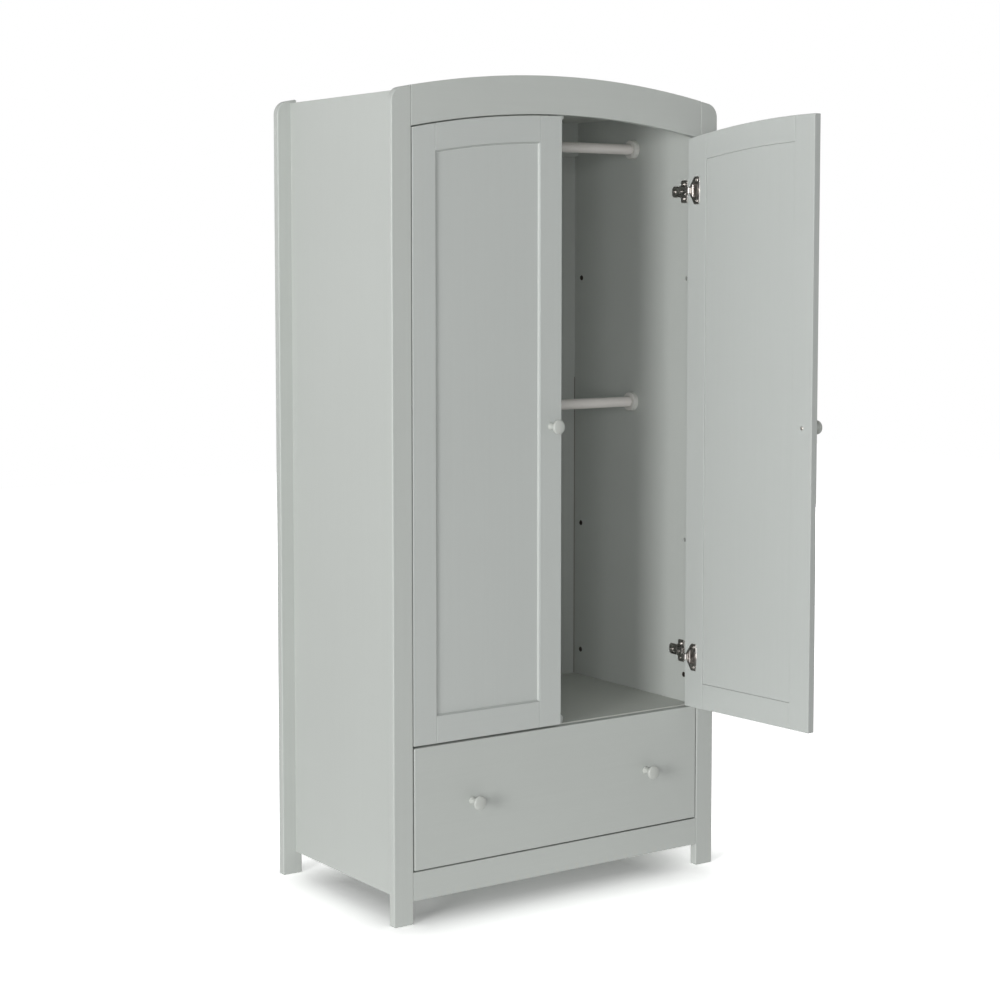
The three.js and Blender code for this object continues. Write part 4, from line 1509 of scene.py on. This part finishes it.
@dataclass(frozen=True)
class Door(Part):
    """A framed door with a sunk panel, drawn for the right side and shut."""

    side: Side
    angle: float
    free: float = 0.0025
    hinge_edge: float = 0.398
    stile: float = 0.059
    bottom: float = 0.393
    drop: float = 0.0875
    top_rail: float = 0.058
    bottom_rail: float = 0.060
    edge: float = 0.001
    joint: float = 0.0003
    tongue: float = 0.003
    tongue_front: float = 0.0066
    tongue_back: float = 0.0114
    rim_recess: float = 0.0008
    rim_width: float = 0.0008
    recess: float = 0.006
    bead: float = 0.0035
    bead_slope: float = 0.6
    field_margin: float = 0.0015
    back_recess: float = 0.0015
    bevel: float = 0.0004
    axis_x: float = 0.3884
    axis_y: float = -0.0078
    knob_inset: float = 0.029
    knob_z: float = 1.073
    hinge_distance: float = 0.119

    def swung(self, surface: Surface) -> Surface:
        """A surface of the shut right door, on this door as it stands."""
        return surface.swung(self.angle, (self.axis_x, self.axis_y, 0)).on(self.side)

    def hinges(self) -> list[Hinge]:
        """The door's two hinges.

        Returns:
            The lower hinge and the upper one.
        """
        top, common = float(self.plan.arch.height(self.hinge_edge, self.drop)), (self.plan, self.shop)
        heights = (("lower", self.bottom + self.hinge_distance), ("upper", top - self.hinge_distance))
        return [Hinge(*common, self.side, level, height, self.hinge_edge) for level, height in heights]

    def boards(self) -> dict[str, Surface]:
        """The two stiles, the two rails and the panel.

        Returns:
            Each board's surface, by name.
        """
        arch, drop, bottom = self.plan.arch, self.drop, self.bottom
        inner, outer = self.free + self.stile, self.hinge_edge - self.stile
        low, high = bottom + self.bottom_rail, drop + self.top_rail
        start, end = inner + self.joint, outer - self.joint
        outlines = {
            "hinge_stile": arch.under(outer, self.hinge_edge, bottom, drop, STILE_ARCH_STEPS),
            "free_stile": arch.under(self.free, inner, bottom, drop, STILE_ARCH_STEPS),
            "top_rail": arch.band(start, end, drop, high, ARCH_STEPS // 2),
            "bottom_rail": rectangle(start, bottom, end, low),
        }
        thickness, sunk = self.plan.board_thickness, arch.under(inner, outer, low, high, ARCH_STEPS // 2)
        made = {name: slab(outline, 0, thickness, self.edge) for name, outline in outlines.items()}
        return made | {"panel": carried(sunk, Facing.FRONT, 0, self.panel_profile())}

    def panel_profile(self) -> Array:
        """The profile of the sunk panel, with a sloping bead round its field and a tongue in the frame.

        The bead falls from the rim to the field: for t from 0 to 1 the inset is rim + w t and the depth is
        r + d (s t + (1 - s) sin(t pi / 2)), steeper at the rim and with the slope s at the field.

        Returns:
            The profile, as inset and depth.
        """
        back = self.plan.board_thickness - self.back_recess
        gap, bevel, rim, tongue = self.joint, self.bevel, self.rim_recess, -self.tongue
        t = np.linspace(1, 0, BEAD_STEPS + 1)
        fall = self.bead_slope * t + (1 - self.bead_slope) * np.sin(t * math.pi / 2)
        start = gap + self.rim_width
        return np.concatenate(
            [
                [[self.bead + self.field_margin, self.recess]],
                columns(start + (self.bead - start) * t, rim + (self.recess - rim) * fall),
                [[gap + bevel, rim], [gap, rim + bevel], [gap, self.tongue_front]],
                [[tongue, self.tongue_front], [tongue, self.tongue_back], [gap, self.tongue_back]],
                [[gap, back - bevel], [gap + bevel, back], [gap + 3 * bevel, back]],
            ]
        )

    def build(self) -> None:
        """Builds the door's boards, knob and hinges."""
        word, body, hinges = self.side.word, f"{self.side.word}_door", self.hinges()
        holes = self.swung(together(*[hinge.bore() for hinge in hinges]))
        for name, board in self.boards().items():
            finish = DOOR_RAIL_PAINT if "rail" in name else DOOR_PAINT
            bores, node = holes if name == "hinge_stile" else None, f"door_{word}_{name}"
            self.shop.add(f"{body}_{name}", self.swung(board), finish, body, node, bores=bores)
        knob = Knob(self.plan.board_thickness).pieces(self.free + self.knob_inset, self.knob_z)
        for end, (surface, finish) in knob.items():
            nodes = [f"door_{word}_knob"] if end == "knob" else []
            self.shop.add(f"{body}_{end}", self.swung(surface), finish, body, *nodes)
        for hinge in hinges:
            hinge.build(self)


# The studio


@dataclass(frozen=True)
class Lamp:
    """A soft box, unseen itself, that shines at the wardrobe's middle."""

    name: str
    azimuth: float
    distance: float
    height: float
    width: float
    tall: float
    strength: float
    aim: tuple[float, float, float] = (0, 0, 1)

    def build(self) -> None:
        """Puts the soft box at its azimuth (0 is the front, 90 the right), distance and height.

        A box of strength 1 sends out pi watts for each square metre of its distance squared, so that a
        board which faces it head-on gets as much light from any distance.
        """
        data = bpy.data.lights.new(self.name, "AREA")
        data.shape, data.size, data.size_y = "RECTANGLE", self.width, self.tall
        data.energy = self.strength * math.pi * self.distance**2
        lamp, turn = placed(self.name, data), math.radians(self.azimuth)
        lamp.location = (math.sin(turn) * self.distance, -math.cos(turn) * self.distance, self.height)
        lamp.rotation_euler = (Vector(self.aim) - lamp.location).to_track_quat("-Z", "Y").to_euler()
        lamp.visible_camera = False


@dataclass(frozen=True)
class Studio:
    """The white studio: its floor, lights, world and camera."""

    floor_half: float = 9.0
    floor_tone: float = 0.90
    floor_near: float = 0.95
    floor_far: float = 3.9
    floor_glow: float = 0.03
    shade_middle: tuple[float, float, float] = (-0.038, 0.150, 0.0)
    shade_half: tuple[float, float, float] = (0.314, 0.153, 1.0)
    shade_reach: float = 0.387
    bounce: float = 0.315
    bounce_reach: float = 2.4
    world_level: float = 0.278
    lamps: tuple[Lamp, ...] = (
        Lamp("key", -67, 8.0, 1.4, 2.1, 2.6, 1.65),
        Lamp("front", -41, 9.0, 1.6, 2.6, 3.0, 0.83),
        Lamp("back", 140, 8.0, 1.2, 2.6, 2.0, 0.50),
    )
    camera_place: tuple[float, float, float] = (-2.8304, -3.8627, 1.4319)
    camera_yaw: float = 0.6100
    camera_pitch: float = -0.0776
    lens: float = 76.16
    sensor: float = 36.0
    shift_y: float = -0.07

    def build_floor(self) -> None:
        """Builds the floor, white to the camera except near the wardrobe, where it keeps the shadow and
        painted shade.

        To the camera its tone rises from near to far within the shade's reach around the shade's box: the
        low tone near the wardrobe is painted shade that deepens its shadow. To all else it glows by the
        bounce times a value that falls from 1 at the wardrobe to 0 at the bounce's
        reach: painted light, a floor that glows though it is no lamp, as a brightly lit floor would light
        the wardrobe.
        """
        mesh = bpy.data.meshes.new("studio_floor")
        corners = rectangle(-self.floor_half, -self.floor_half, self.floor_half, self.floor_half)
        mesh.from_pydata(np.pad(corners, ((0, 0), (0, 1))).tolist(), [], [(0, 1, 2, 3)])
        recipe = Recipe(bpy.data.materials.new("studio_floor"))
        camera, scaled = recipe.ray("Camera"), recipe.stretched(recipe.place(), (1 / self.bounce_reach,) * 3)
        ball = recipe.node("ShaderNodeTexGradient", {"gradient_type": "SPHERICAL"}, {"Vector": scaled})
        far = recipe.apart(self.shade_middle, self.shade_half) * (1 / self.shade_reach)
        # painted shade: the floor's tone to the camera is low near the wardrobe and high further out
        tone = recipe.mixed(far, self.floor_near, self.floor_far)
        # painted light: the floor glows onto everything but the camera, though it is no lamp
        glow = recipe.mixed(ball.outputs[1], 0.0, self.bounce)
        material = recipe.finished(
            Base_Color=recipe.mixed(camera, self.floor_tone, tone),
            Roughness=1.0,
            Specular_IOR_Level=0.0,
            Emission_Color=recipe.mixed(camera, glow, self.floor_glow),
            Emission_Strength=1.0,
        )
        mesh.materials.append(material)
        placed("studio_floor", mesh)

    def build_world(self) -> None:
        """Builds the world: white where it is seen or mirrored, and a level light elsewhere."""
        world = bpy.data.worlds.new("studio_world")
        bpy.context.scene.world = world
        recipe = Recipe(world)
        seen = recipe.ray("Camera").above(recipe.ray("Glossy")).above(recipe.ray("Transmission"))
        level, white = (
            recipe.node("ShaderNodeBackground", None, {"Color": (1, 1, 1, 1), "Strength": strength})
            for strength in (self.world_level, 1.0)
        )
        both = recipe.node("ShaderNodeMixShader", None, {0: seen, 1: level.outputs[0], 2: white.outputs[0]})
        recipe.node("ShaderNodeOutputWorld", None, {"Surface": both.outputs[0]})

    def build_camera(self) -> None:
        """Builds the camera at the photograph's angle."""
        data = bpy.data.cameras.new("camera")
        data.lens, data.sensor_width, data.shift_y = self.lens, self.sensor, self.shift_y
        camera = placed("camera", data)
        camera.location = self.camera_place
        camera.rotation_euler = (math.pi / 2 + self.camera_pitch, 0, -self.camera_yaw)
        bpy.context.scene.camera = camera

    def build(self) -> None:
        """Builds the whole studio."""
        self.build_floor()
        self.build_world()
        for lamp in self.lamps:
            lamp.build()
        self.build_camera()
        bpy.context.scene.view_settings.view_transform = "Standard"
        log.info("built the studio")


def main() -> None:
    """Builds the wardrobe and its studio in order."""
    logging.basicConfig(level=logging.INFO, format="%(name)s: %(message)s")
    plan, shop = Plan(), Workshop()
    Carcass(plan, shop).build()
    HangingRods(plan, shop).build()
    Drawer(plan, shop).build()
    Runners(plan, shop).build()
    Door(plan, shop, Side.LEFT, 0.0).build()
    Door(plan, shop, Side.RIGHT, DOOR_OPEN).build()
    Studio().build()


if __name__ == "__main__":
    main()
